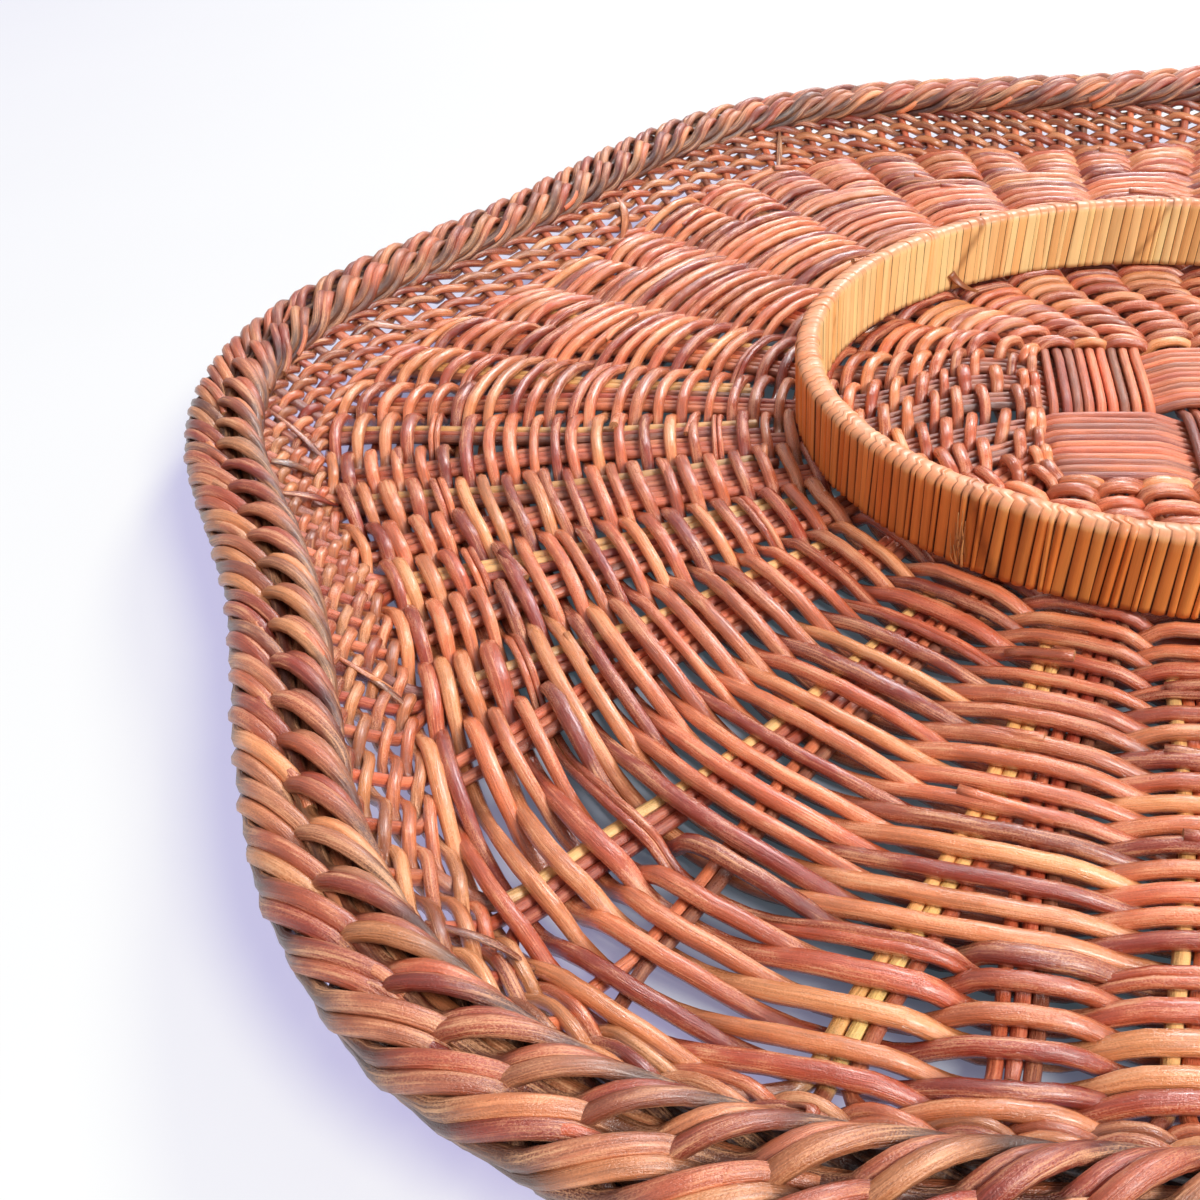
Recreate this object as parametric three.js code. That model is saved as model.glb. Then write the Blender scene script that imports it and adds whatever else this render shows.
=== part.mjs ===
// Round wicker tray with a cane-wrapped ring in its middle, a woven floor, a low flared wall and a
// plaited, wavy border. Millimetres, +Z up, origin on the table under the middle of the ring.
// X and Y run along the two directions of the base cross.
import * as THREE from 'three';

const DEG = Math.PI / 180;

// Driving sizes: rods and weavers
const ROD_D = 2.1; // round rods of the cross and of the side stakes
const WEAVER_T = 2.35; // height of a woven band, one reed thick
const FIT = 0.3; // air left between two pieces that touch
const SIDE_GAP = 0.3; // air between rods that lie side by side in two pieces
const WEAVE_GAP = 0.5; // air between a rod's side and the weaver that turns down beside it
const ROD_PITCH = 2.4; // spacing of the rods in the cross

// Driving sizes: base cross
const RODS_IN_GROUP = 3;
const RODS_IN_CORNER_GROUP = 2;
const GROUPS_PER_HALF = 3; // full groups on each side of the middle
const CROSS_GAP = 4; // gap in the middle of the cross, where the rods change sides
const CROSS_LIFT = 1.35; // how far a rod rises or dips in the cross
const CROSS_RUNOUT = 3; // length in which it comes back to the level of the floor

// Driving sizes: spokes. Angles of one quarter, measured from its axis
const SPOKE_ANGLES = [5.2, 16.3, 29.1];
const CORNER_ANGLE = 45;
const TWIST = 12; // turn of the spokes against the cross, from the pull of the weaving
const TWIST_END_R = 66; // here the turn is complete, and the rounds of weaving are circles

// Driving sizes: ring
const RING_MID_R = 74;
const HOOP_T = 3; // thickness of the wooden hoop
const RING_H = 16; // height of the wrapped ring above the woven floor
const CANE_T = 0.8; // thickness of the split cane
const CANE_GROOVE = 0.35; // depth of the groove between two turns of cane
const CANE_PITCH = 3.4; // width of one turn of cane along the ring
const CROWN_SHARE = 0.45; // height of the ring's crown as a share of its half width
const HOOP_SEGMENTS = 60;

// Driving sizes: floor, wall and border
const INNER_WEAVE_R = 38.5; // mean radius where the weaving starts round the cross
const INNER_WEAVE_SQUARE = 5; // how far that first round follows the square of the cross
const INNER_BANDS = 2; // bands of weaving between the cross and the ring
const RING_BAND_OVERHANG = 2.4; // width by which the band under the ring shows on each side
const OUTER_BANDS = 5; // bands of weaving between the ring and the wall
const ROUNDS_IN_BAND = 2; // rounds that one reed makes in its band
const SIDE_STAKE_START_R = 84; // side stakes are pushed in from here outwards
const ROOM_BEFORE = 6; // the base rods have made room for them this far before
const ROOM_LENGTH = 12; // length in which they make that room
const FOOT_R = 175; // mean radius where the wall starts
const SCALLOP = 9.3; // height of the waves of foot and border
const LOBES = 6;
const BORDER_OUT = 18.5; // middle of the border, outwards from the foot
const BORDER_UP = 16; // middle of the border, above the middle of the floor's rods
const BEND_R = 10; // bend of the stakes at the foot
const BEND_START = 4; // the bend starts this far inside the foot
const WALL_ROWS = 4;
const WALL_ROW_PITCH = 4.6;
const WALL_WEAVER_T = 2.2;

// Driving sizes: plait of the border
const PLAIT_STRANDS = 3;
const PLAIT_TURNS = 28;
const PLAIT_STATIONS = 6; // stations in one turn of the plait
const PLAIT_SIDE = 4.9; // sideways swing of a strand
const PLAIT_RISE = 2.4; // up and down swing of a strand
const STRAND_W = 3.4;
const STRAND_H = 3.6;
const PLAIT_PHASE = 30 * DEG; // where the first strand starts its swing

// Levels that follow from the sizes
const ROD_Z = WEAVER_T + FIT + ROD_D / 2; // middle of the rods in the floor
const OVER_Z = ROD_Z + ROD_D / 2 + FIT; // underside of a weaver that passes over a rod
const FLOOR_TOP = OVER_Z + WEAVER_T;
const BORDER_Z = ROD_Z + BORDER_UP;
const RING_FOOT = FLOOR_TOP + FIT;
const RING_TOP = FLOOR_TOP + RING_H;
const GROUP_W = RODS_IN_GROUP * ROD_D;
const CORNER_GROUP_W = RODS_IN_CORNER_GROUP * ROD_D;
const ROOM_END_R = SIDE_STAKE_START_R - ROOM_BEFORE;
const FLOOR_END = BEND_START + ROD_D; // the flat floor ends this far inside the foot

// Finishes
const FINISH = {
  rods: new THREE.MeshStandardMaterial({ color: 0x8f4a30, roughness: 0.45, metalness: 0 }),
  sideStakes: new THREE.MeshStandardMaterial({ color: 0xb0683f, roughness: 0.5, metalness: 0 }),
  weavers: new THREE.MeshStandardMaterial({ color: 0xa55c42, roughness: 0.4, metalness: 0 }),
  hoop: new THREE.MeshStandardMaterial({ color: 0xb98a52, roughness: 0.6, metalness: 0 }),
  cane: new THREE.MeshStandardMaterial({ color: 0xd79a52, roughness: 0.35, metalness: 0 }),
  border: new THREE.MeshStandardMaterial({ color: 0x9c5f40, roughness: 0.5, metalness: 0 }),
};

const tray = new THREE.Group();

// Adds one named piece to the tray
function addPiece(name, geometry, material) {
  const mesh = new THREE.Mesh(geometry, material);
  mesh.name = name;
  tray.add(mesh);
}

const mix = (a, b, t) => a + (b - a) * t;
const clamp01 = (t) => Math.min(1, Math.max(0, t));

function smooth(t) {
  const u = clamp01(t);
  return u * u * (3 - 2 * u);
}

function polar(radius, angle, z) {
  return new THREE.Vector3(radius * Math.cos(angle), radius * Math.sin(angle), z);
}

// Six times the signed volume of a triangle list, to see which way it faces
function signedVolume(points, triangles) {
  let sum = 0;
  for (const [a, b, c] of triangles) {
    sum += points[a].dot(new THREE.Vector3().crossVectors(points[b], points[c]));
  }
  return sum;
}

// Solid through a row of sections that all have the same number of points.
// A closed row runs back into itself; an open one gets a flat face on each end.
function loft(sections, closed) {
  const count = sections[0].length;
  const points = sections.flat();
  const triangles = [];
  const last = closed ? sections.length : sections.length - 1;
  for (let i = 0; i < last; i += 1) {
    const here = i * count;
    const next = ((i + 1) % sections.length) * count;
    for (let k = 0; k < count; k += 1) {
      const side = (k + 1) % count;
      triangles.push([here + k, next + k, next + side]);
      triangles.push([here + k, next + side, here + side]);
    }
  }
  if (!closed) {
    const end = (sections.length - 1) * count;
    for (let k = 1; k < count - 1; k += 1) {
      triangles.push([0, k, k + 1]);
      triangles.push([end, end + k + 1, end + k]);
    }
  }
  if (signedVolume(points, triangles) < 0) {
    triangles.forEach((triangle) => triangle.reverse());
  }
  const geometry = new THREE.BufferGeometry().setFromPoints(points);
  geometry.setIndex(triangles.flat());
  geometry.computeVertexNormals();
  return geometry;
}

// Flat bundle of rods, seen along the rods, as offsets sideways and upwards from its middle
function bundleSection(width) {
  const half = width / 2;
  const shoulder = half - ROD_D / 3;
  const rise = ROD_D / 2;
  return [
    [-half, 0],
    [-shoulder, rise],
    [shoulder, rise],
    [half, 0],
    [shoulder, -rise],
    [-shoulder, -rise],
  ];
}

// Sections of a bundle along a route of points; each route point has a place, a sideways
// direction and an upwards direction
function bundleAlong(route, width) {
  const outline = bundleSection(width);
  const sections = route.map(({ place, side, up }) =>
    outline.map(([s, u]) => place.clone().addScaledVector(side, s).addScaledVector(up, u))
  );
  return loft(sections, false);
}

// Wave of the foot and the border: how far they stand out at an angle
function wave(angle) {
  return SCALLOP * Math.cos(LOBES * angle);
}

function footRadius(angle) {
  return FOOT_R + wave(angle);
}

// How far a round of weaving already follows the wave of the foot. "level" is its mean radius.
function waveShare(level) {
  return clamp01((level - RING_MID_R) / (FOOT_R - RING_MID_R)) ** 2;
}

// Radius of a round of weaving: square near the cross, then round, then wavy like the foot
function roundRadius(level, angle) {
  const squareShare = 1 - smooth((level - INNER_WEAVE_R) / (TWIST_END_R - INNER_WEAVE_R));
  return level - squareShare * INNER_WEAVE_SQUARE * Math.cos(4 * angle) + waveShare(level) * wave(angle);
}

// Base cross: groups of rods that run right through, and their places across the cross
function crossGroups(withCorners) {
  const fullPitch = RODS_IN_GROUP * ROD_PITCH;
  const groups = [];
  for (const half of [-1, 1]) {
    for (let k = 0; k < GROUPS_PER_HALF; k += 1) {
      const across = half * (CROSS_GAP / 2 + fullPitch * (k + 0.5));
      groups.push({ half, across, angle: half * SPOKE_ANGLES[k] * DEG, width: GROUP_W });
    }
    if (withCorners) {
      const cornerPitch = RODS_IN_CORNER_GROUP * ROD_PITCH;
      const across = half * (CROSS_GAP / 2 + fullPitch * GROUPS_PER_HALF + cornerPitch / 2);
      groups.push({ half, across, angle: half * CORNER_ANGLE * DEG, width: CORNER_GROUP_W });
    }
  }
  return groups.sort((a, b) => a.across - b.across);
}

const groupsX = crossGroups(true);
const groupsY = crossGroups(false);

// Half the width that a set of groups takes in the cross
function halfExtent(groups) {
  const outermost = groups[groups.length - 1];
  return outermost.across + outermost.width / 2;
}

// Place where a group leaves the cross: it has to clear the groups that run the other way
function exitOf(group, crossing) {
  const along = halfExtent(crossing) + CROSS_RUNOUT;
  return { along, radius: Math.hypot(along, group.across), angle: Math.atan2(group.across, along) };
}

// The spokes in order of angle. Each knows its quarter, its group and where it leaves the cross.
function listSpokes() {
  const spokes = [];
  for (let quarter = 0; quarter < 4; quarter += 1) {
    const alongX = quarter % 2 === 0;
    const groups = alongX ? groupsX : groupsY;
    const crossing = alongX ? groupsY : groupsX;
    for (const group of groups) {
      spokes.push({ quarter, turn: quarter * 90 * DEG, group, exit: exitOf(group, crossing) });
    }
  }
  const order = (spoke) => (spoke.turn + spoke.group.angle + 2 * Math.PI) % (2 * Math.PI);
  return spokes.sort((a, b) => order(a) - order(b));
}

const spokes = listSpokes();

// Angle of a spoke at a radius: from its exit it fans out and turns with the weaving
function spokeAngle(spoke, radius) {
  const t = smooth((radius - spoke.exit.radius) / (TWIST_END_R - spoke.exit.radius));
  return spoke.turn + mix(spoke.exit.angle, spoke.group.angle + TWIST * DEG, t);
}

// Outside the ring the base rods make room for the side stakes beside them
const SIDE_SHIFT = (GROUP_W + SIDE_GAP) / 2;

function sideShare(radius) {
  return smooth((radius - ROOM_END_R) / ROOM_LENGTH + 1);
}

// Bands of the woven floor, from the cross to the wall, as the levels of their two edges.
// Each band is one reed, which steps outwards once in each turn.
function listBands() {
  const ringHalf = HOOP_T / 2 + CANE_T + FIT + RING_BAND_OVERHANG;
  const ringBand = [RING_MID_R - ringHalf, RING_MID_R + ringHalf];
  const bands = [];
  const split = (start, end, count, name) => {
    const pitch = (end - start + FIT) / count;
    for (let k = 0; k < count; k += 1) {
      const inner = start + k * pitch;
      bands.push({ name: `${name}_${k + 1}`, inner, outer: inner + pitch - FIT });
    }
  };
  split(INNER_WEAVE_R, ringBand[0] - FIT, INNER_BANDS, 'inner_weave');
  split(ringBand[0], ringBand[1], 1, 'ring_seat_weave');
  split(ringBand[1] + FIT, FOOT_R - FLOOR_END, OUTER_BANDS, 'outer_weave');
  return bands;
}

const bands = listBands();

// Rounds of all bands, from the cross to the wall, as the levels of their two edges
const rounds = bands.flatMap(({ inner, outer }) => {
  const pitch = (outer - inner + FIT) / ROUNDS_IN_BAND;
  return Array.from({ length: ROUNDS_IN_BAND }, (_, k) => {
    const start = inner + k * pitch;
    return { inner: start, outer: start + pitch - FIT };
  });
});

// Middle of a spoke at a level of the weaving, on the plan
function spokeMiddle(spoke, level) {
  const radius = roundRadius(level, spokeAngle(spoke, level));
  const angle = spokeAngle(spoke, radius);
  return { radius, angle, place: polar(radius, angle, 0) };
}

// Route of a spoke: where it leaves the cross, and then one point at each edge of the rounds.
// It bends only at the edges of the bands and is straight between them.
// "side" lies square to the route, to the left of someone who walks outwards.
function spokeRoute(spoke) {
  const exit = polar(spoke.exit.radius, spoke.turn + spoke.exit.angle, 0);
  const edges = [...bands.map((band) => band.inner), FOOT_R - FLOOR_END];
  const bends = edges.map((level) => spokeMiddle(spoke, level));
  const points = [{ radius: spoke.exit.radius, place: exit, bend: true }];
  bends.forEach(({ radius, place }, k) => {
    points.push({ radius, place, bend: true });
    const next = bends[k + 1];
    for (let part = 1; next && part < ROUNDS_IN_BAND; part += 1) {
      const share = part / ROUNDS_IN_BAND;
      const between = place.clone().lerp(next.place, share);
      points.push({ radius: mix(radius, next.radius, share), place: between, bend: false });
    }
  });
  return points.map(({ radius, place, bend }, k) => {
    const before = points[Math.max(0, k - 1)].place;
    const after = points[Math.min(points.length - 1, k + 1)].place;
    const ahead = k === 0 ? polar(1, spoke.turn, 0) : after.clone().sub(before).normalize();
    return { radius, place, bend, side: new THREE.Vector3(-ahead.y, ahead.x, 0) };
  });
}

spokes.forEach((spoke) => {
  spoke.route = spokeRoute(spoke);
});

// Height of a group in the cross: above the groups that run the other way on one side of the
// middle and below them on the other. The groups of the other half do the opposite.
function crossHeight(group, along, crossing) {
  const over = Math.sign(along) * group.half;
  const leave = 1 - clamp01((Math.abs(along) - halfExtent(crossing)) / CROSS_RUNOUT);
  return ROD_Z + over * CROSS_LIFT * leave;
}

// One through group: a spoke, the cross and the spoke on the far side
function throughGroup(group, crossing, quarter) {
  const turn = quarter * 90 * DEG;
  const up = new THREE.Vector3(0, 0, 1);
  const find = (q, across) => spokes.find((s) => s.quarter === q && s.group.across === across);
  const isNeeded = (point, k, route) =>
    k === 0 || k === route.length - 1 || route[k - 1].radius < ROOM_END_R;
  const half = (spoke) => {
    const bends = spoke.route.filter(({ bend }) => bend).filter(isNeeded);
    return bends.map(({ radius, place, side }, k, route) => {
      const last = k === route.length - 1;
      const shifted = place.clone().addScaledVector(side, SIDE_SHIFT * sideShare(radius));
      const trim = last ? ROD_D : 0;
      const backwards = new THREE.Vector3(-side.y, side.x, 0);
      return { place: shifted.addScaledVector(backwards, trim).setZ(ROD_Z), side, up };
    });
  };
  const side = polar(1, turn + 90 * DEG, 0);
  const ahead = polar(1, turn, 0);
  const edge = halfExtent(crossing);
  const inner = (CROSS_GAP - SIDE_GAP) / 2;
  const middle = [-edge, -inner, inner, edge].map((along) => {
    const place = ahead.clone().multiplyScalar(along).addScaledVector(side, group.across);
    return { place: place.setZ(crossHeight(group, along, crossing)), side, up };
  });
  const back = half(find(quarter + 2, -group.across))
    .reverse()
    .map((point) => ({ ...point, side: point.side.clone().negate() }));
  const front = half(find(quarter, group.across));
  return bundleAlong([...back, ...middle, ...front], group.width);
}

function buildCross() {
  groupsX.forEach((group, k) => {
    addPiece(`base_rods_x${k + 1}`, throughGroup(group, groupsY, 0), FINISH.rods);
  });
  groupsY.forEach((group, k) => {
    addPiece(`base_rods_y${k + 1}`, throughGroup(group, groupsX, 1), FINISH.rods);
  });
}

// Wall: the stakes bend up on an arc and then run straight to the middle of the border
const BORDER_DROP = BORDER_UP - BEND_R;
const BORDER_REACH = BORDER_OUT + BEND_START;
const CENTRE_TO_BORDER = Math.hypot(BORDER_REACH, BORDER_DROP);
const WALL_SLOPE =
  Math.atan2(BORDER_DROP, BORDER_REACH) + Math.asin(BEND_R / CENTRE_TO_BORDER);
const WALL_RUN = Math.sqrt(CENTRE_TO_BORDER ** 2 - BEND_R ** 2);

// Point of the wall's middle line: distance along it from the start of the bend, outwards of
// the foot and upwards of the rods in the floor, with the slope there
function wallLine(distance) {
  const bend = BEND_R * WALL_SLOPE;
  const slope = clamp01(distance / bend) * WALL_SLOPE;
  const straight = Math.max(0, distance - bend);
  const out = -BEND_START + BEND_R * Math.sin(slope) + straight * Math.cos(slope);
  const rise = BEND_R * (1 - Math.cos(slope)) + straight * Math.sin(slope);
  return { out, rise, slope };
}

// Half height of the plait, and the length of wall that it leaves free
const PLAIT_HALF_H = PLAIT_RISE * Math.sin(2 * PLAIT_PHASE) + STRAND_H / 2;
const WALL_FREE =
  WALL_RUN - PLAIT_HALF_H / Math.sin(WALL_SLOPE) - ROD_D / 2 / Math.tan(WALL_SLOPE) - FIT / 2;
const WALL_END = BEND_R * WALL_SLOPE + WALL_FREE;

// Frame of a side stake on the wall: place, sideways and upwards directions
function wallFrame(spoke, distance) {
  const angle = spokeAngle(spoke, FOOT_R);
  const { out, rise, slope } = wallLine(distance);
  const side = polar(1, angle + 90 * DEG, 0);
  const place = polar(footRadius(angle) + out, angle, ROD_Z + rise);
  place.addScaledVector(side, (GROUP_W - spoke.group.width) / 2 - SIDE_SHIFT);
  const up = polar(-Math.sin(slope), angle, Math.cos(slope));
  return { place, side, up, ahead: polar(Math.cos(slope), angle, Math.sin(slope)) };
}

// One side stake: a bundle beside the base rods of its spoke that bends up the wall
function sideStake(spoke) {
  const onFloor = wallFrame(spoke, 0);
  const angle = spokeAngle(spoke, FOOT_R);
  const length = footRadius(angle) - BEND_START - SIDE_STAKE_START_R;
  const place = onFloor.place.clone().addScaledVector(polar(1, angle, 0), -length);
  const start = { ...onFloor, place };
  const bend = BEND_R * WALL_SLOPE;
  const onWall = [bend / 2, bend, WALL_END].map((distance) => wallFrame(spoke, distance));
  return bundleAlong([start, onFloor, ...onWall], GROUP_W);
}

function buildSideStakes() {
  spokes.forEach((spoke, k) => {
    addPiece(`side_stake_${String(k + 1).padStart(2, '0')}`, sideStake(spoke), FINISH.sideStakes);
  });
}

// Half width of what a spoke carries at a radius, with the air beside it
function spokeHalfWidth(spoke, radius) {
  const withSideStake = GROUP_W + SIDE_GAP / 2;
  return mix(spoke.group.width / 2, withSideStake, sideShare(radius)) + WEAVE_GAP;
}

// Edge of a round beside a spoke: square to the spoke's route, and along the waves of the foot
function roundCorner(spoke, roundIndex, outer, side) {
  const round = rounds[roundIndex];
  const point = spoke.route[roundIndex + 1 + (outer ? 1 : 0)];
  const level = outer ? round.outer : round.inner;
  const { radius, angle } = spokeMiddle(spoke, level);
  const half = spokeHalfWidth(spoke, radius) * side;
  const ahead = new THREE.Vector3(point.side.y, -point.side.x, 0);
  const swell = waveShare(level) * (wave(angle + half / radius) - wave(angle));
  const step = swell + (radius - point.radius);
  return point.place.clone().addScaledVector(point.side, half).addScaledVector(ahead, step);
}

// One band of weaving: a reed that passes over one spoke and under the next. Where a round ends
// it stays on its side for two spokes and steps outwards between them, so that the next round
// passes over the spokes that this one passes under.
function floorBand(bandIndex) {
  const sections = [];
  for (let turn = 0; turn < ROUNDS_IN_BAND; turn += 1) {
    const roundIndex = bandIndex * ROUNDS_IN_BAND + turn;
    spokes.forEach((spoke, k) => {
      const low = (k + roundIndex) % 2 === 0 ? OVER_Z : 0;
      for (const side of [-1, 1]) {
        const inner = roundCorner(spoke, roundIndex, false, side);
        const outer = roundCorner(spoke, roundIndex, true, side);
        sections.push([
          inner.clone().setZ(low),
          inner.clone().setZ(low + WEAVER_T),
          outer.clone().setZ(low + WEAVER_T),
          outer.clone().setZ(low),
        ]);
      }
    });
  }
  return loft(sections, false);
}

function buildFloor() {
  bands.forEach(({ name }, k) => addPiece(name, floorBand(k), FINISH.weavers));
}

// Wooden hoop in the ring, and the cane that is wound round it
function buildRing() {
  const inner = RING_MID_R - HOOP_T / 2;
  const outer = RING_MID_R + HOOP_T / 2;
  const foot = RING_FOOT + FIT;
  const crown = RING_TOP - CANE_T - FIT;
  const chamfer = HOOP_T / 4;
  const profile = [
    [inner, foot],
    [outer, foot],
    [outer, crown - chamfer],
    [outer - chamfer, crown],
    [inner + chamfer, crown],
    [inner, crown - chamfer],
    [inner, foot],
  ].map(([r, z]) => new THREE.Vector2(r, z));
  const hoop = new THREE.LatheGeometry(profile, HOOP_SEGMENTS);
  hoop.rotateX(Math.PI / 2);
  addPiece('ring_hoop', hoop, FINISH.hoop);

  const bore = HOOP_T / 2 + FIT;
  const body = bore + CANE_T;
  const shoulder = body * CROWN_SHARE;
  const turns = Math.round((2 * Math.PI * RING_MID_R) / CANE_PITCH);
  const section = (angle, sink) => {
    const points = [
      [body - sink, RING_FOOT],
      [body - sink, RING_TOP - shoulder],
      [0, RING_TOP - sink],
      [-body + sink, RING_TOP - shoulder],
      [-body + sink, RING_FOOT],
      [-bore, RING_FOOT],
      [-bore, crown + FIT],
      [bore, crown + FIT],
      [bore, RING_FOOT],
    ];
    return points.map(([out, z]) => polar(RING_MID_R + out, angle, z));
  };
  const sections = [];
  for (let k = 0; k < turns; k += 1) {
    const step = (2 * Math.PI) / turns;
    sections.push(section(k * step, CANE_GROOVE));
    sections.push(section((k + 0.5) * step, 0));
  }
  addPiece('cane_wrap', loft(sections, true), FINISH.cane);
}

// Open rows of the wall: single weavers, inside one stake and outside the next
function buildWall() {
  const lift = ROD_D / 2 + FIT + WALL_WEAVER_T / 2;
  const half = WALL_WEAVER_T / 2;
  const last = WALL_END - half;
  for (let row = 0; row < WALL_ROWS; row += 1) {
    const distance = last - (WALL_ROWS - 1 - row) * WALL_ROW_PITCH;
    const sections = [];
    spokes.forEach((spoke, k) => {
      const inside = (k + row) % 2 === 0 ? 1 : -1;
      const { place, side, up, ahead } = wallFrame(spoke, distance);
      const corner = (sideways, along, rise) =>
        place
          .clone()
          .addScaledVector(side, sideways)
          .addScaledVector(ahead, along)
          .addScaledVector(up, lift * inside + rise);
      for (const way of [-1, 1]) {
        const sideways = way * (GROUP_W / 2 + SIDE_GAP);
        sections.push([
          corner(sideways, -half, -half),
          corner(sideways, -half, half),
          corner(sideways, half, half),
          corner(sideways, half, -half),
        ]);
      }
    });
    addPiece(`wall_weaver_${row + 1}`, loft(sections, true), FINISH.weavers);
  }
}

// Plaited border: strands that swing sideways once and up and down twice in each turn
function buildBorder() {
  const stations = PLAIT_TURNS * PLAIT_STATIONS;
  for (let strand = 0; strand < PLAIT_STRANDS; strand += 1) {
    const sections = [];
    for (let k = 0; k < stations; k += 1) {
      const angle = (k / stations) * 2 * Math.PI;
      const phase = PLAIT_PHASE + 2 * Math.PI * (k / PLAIT_STATIONS + strand / PLAIT_STRANDS);
      const radius = footRadius(angle) + BORDER_OUT + PLAIT_SIDE * Math.sin(phase);
      const z = BORDER_Z + PLAIT_RISE * Math.sin(2 * phase);
      const outline = [
        [-STRAND_W / 2, 0],
        [0, STRAND_H / 2],
        [STRAND_W / 2, 0],
        [0, -STRAND_H / 2],
      ];
      sections.push(outline.map(([out, up]) => polar(radius + out, angle, z + up)));
    }
    addPiece(`border_strand_${strand + 1}`, loft(sections, true), FINISH.border);
  }
}

buildCross();
buildSideStakes();
buildFloor();
buildRing();
buildWall();
buildBorder();

export default tray;
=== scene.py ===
"""Looks of a round wicker tray: woven floor, cane-wrapped ring, open wall and rope-like border.

Sizes are in millimetres until a mesh is written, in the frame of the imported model: +Z up, the
origin on the table under the middle of the ring, X and Y along the two ways of the base cross.
"""

import logging
import math
from collections.abc import Callable
from dataclasses import dataclass, replace
from enum import Enum

import bmesh
import bpy
import numpy as np
from mathutils import Matrix, Vector

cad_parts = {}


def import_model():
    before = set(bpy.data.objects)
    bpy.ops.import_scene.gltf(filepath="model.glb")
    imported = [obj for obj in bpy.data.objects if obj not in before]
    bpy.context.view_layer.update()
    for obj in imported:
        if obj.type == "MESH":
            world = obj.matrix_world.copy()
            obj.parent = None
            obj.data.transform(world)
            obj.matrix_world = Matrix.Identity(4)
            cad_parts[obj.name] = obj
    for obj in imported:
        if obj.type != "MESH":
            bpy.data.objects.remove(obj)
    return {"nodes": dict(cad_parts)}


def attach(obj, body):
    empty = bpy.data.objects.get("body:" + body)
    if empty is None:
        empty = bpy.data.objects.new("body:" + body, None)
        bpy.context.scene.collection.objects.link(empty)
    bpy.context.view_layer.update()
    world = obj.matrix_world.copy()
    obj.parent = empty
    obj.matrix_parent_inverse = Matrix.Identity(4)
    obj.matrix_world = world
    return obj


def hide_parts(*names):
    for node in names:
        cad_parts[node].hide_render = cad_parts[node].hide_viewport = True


LOG = logging.getLogger("wicker_tray")
MM = 0.001
TURN = 2 * math.pi
Colour = tuple[float, float, float]
Inputs = dict[str | int, object]
Group = tuple[float, float, int]
Values = np.ndarray | float


# ---------------------------------------------------------------- small helpers


def srgb(red: int, green: int, blue: int) -> Colour:
    """Turn a colour as a screen shows it (0 to 255) into the linear values of a shader."""
    shares = (channel / 255 for channel in (red, green, blue))
    return tuple(s / 12.92 if s < 0.04045 else ((s + 0.055) / 1.055) ** 2.4 for s in shares)


def smooth(share: Values) -> np.ndarray:
    """Ease a share from 0 to 1, flat at both ends."""
    t = np.clip(share, 0.0, 1.0)
    return t * t * (3 - 2 * t)


def mix(start: Values, end: Values, share: Values) -> np.ndarray:
    """Blend two values."""
    return start + (end - start) * share


def column(values: np.ndarray) -> np.ndarray:
    """Turn a row of numbers into a column, to scale a list of vectors."""
    return np.asarray(values, float)[:, None]


def unit(vectors: np.ndarray) -> np.ndarray:
    """Scale each vector of a list to length one."""
    return vectors / np.maximum(np.linalg.norm(vectors, axis=1, keepdims=True), 1e-9)


def polar(radius: Values, angle: np.ndarray, height: Values) -> np.ndarray:
    """Give the points at these radii, angles and heights, as rows of x, y, z."""
    radius, angle, height = np.broadcast_arrays(radius, angle, height)
    return np.stack([radius * np.cos(angle), radius * np.sin(angle), height], axis=1)


def upright(count: int) -> np.ndarray:
    """Give this many vectors that point straight up."""
    return np.tile((0.0, 0.0, 1.0), (count, 1))


def drift(rng: np.random.Generator, count: int, every: float, closed: bool = False) -> np.ndarray:
    """Give a row of numbers around zero that wander smoothly.

    Args:
        rng: Seeded source of chance.
        count: Numbers wanted.
        every: How many numbers lie between two independent ones.
        closed: Whether the row has to run back into itself.

    Returns:
        The numbers, with a spread of about one.
    """
    knots = max(4, round(count / every))
    values = rng.normal(size=knots)
    position = np.arange(count) / count * (knots if closed else knots - 1)
    index = position.astype(int)
    return mix(values[index % knots], values[(index + 1) % knots], smooth(position - index))


def through(knots: np.ndarray, period: float, places: np.ndarray) -> np.ndarray:
    """Run a smooth repeating curve through knots.

    Args:
        knots: Rows of place, value, value..., in order of place.
        period: Length after which the curve repeats.
        places: Where the curve is wanted.

    Returns:
        One row of values for each place.
    """
    at, values = knots[:, 0], knots[:, 1:]
    at = np.concatenate([at[-2:] - period, at, at[:2] + period])
    values = np.concatenate([values[-2:], values, values[:2]])
    slopes = np.gradient(values, at, axis=0)
    wrapped = (places - knots[0, 0]) % period + knots[0, 0]
    left = np.clip(np.searchsorted(at, wrapped, side="right") - 1, 0, len(at) - 2)
    gap = at[left + 1] - at[left]
    t = column((wrapped - at[left]) / gap)
    cube, square = t**3, t**2
    return (
        (2 * cube - 3 * square + 1) * values[left]
        + (cube - 2 * square + t) * slopes[left] * column(gap)
        + (3 * square - 2 * cube) * values[left + 1]
        + (cube - square) * slopes[left + 1] * column(gap)
    )


def finished(shape: bmesh.types.BMesh, name: str) -> bpy.types.Mesh:
    """Write a shape to a new mesh and let go of it."""
    mesh = bpy.data.meshes.new(name)
    shape.to_mesh(mesh)
    shape.free()
    return mesh


def placed(name: str, data: bpy.types.ID) -> bpy.types.Object:
    """Put a mesh, a lamp or a camera in the scene as an object at the origin."""
    thing = bpy.data.objects.new(name, data)
    bpy.context.scene.collection.objects.link(thing)
    return thing


def write(mesh: bpy.types.Mesh, name: str, kind: str, key: str, values: np.ndarray) -> None:
    """Write one value for each corner of a mesh."""
    attribute = mesh.attributes.new(name, kind, "POINT")
    attribute.data.foreach_set(key, values.astype(np.float32).ravel())


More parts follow.
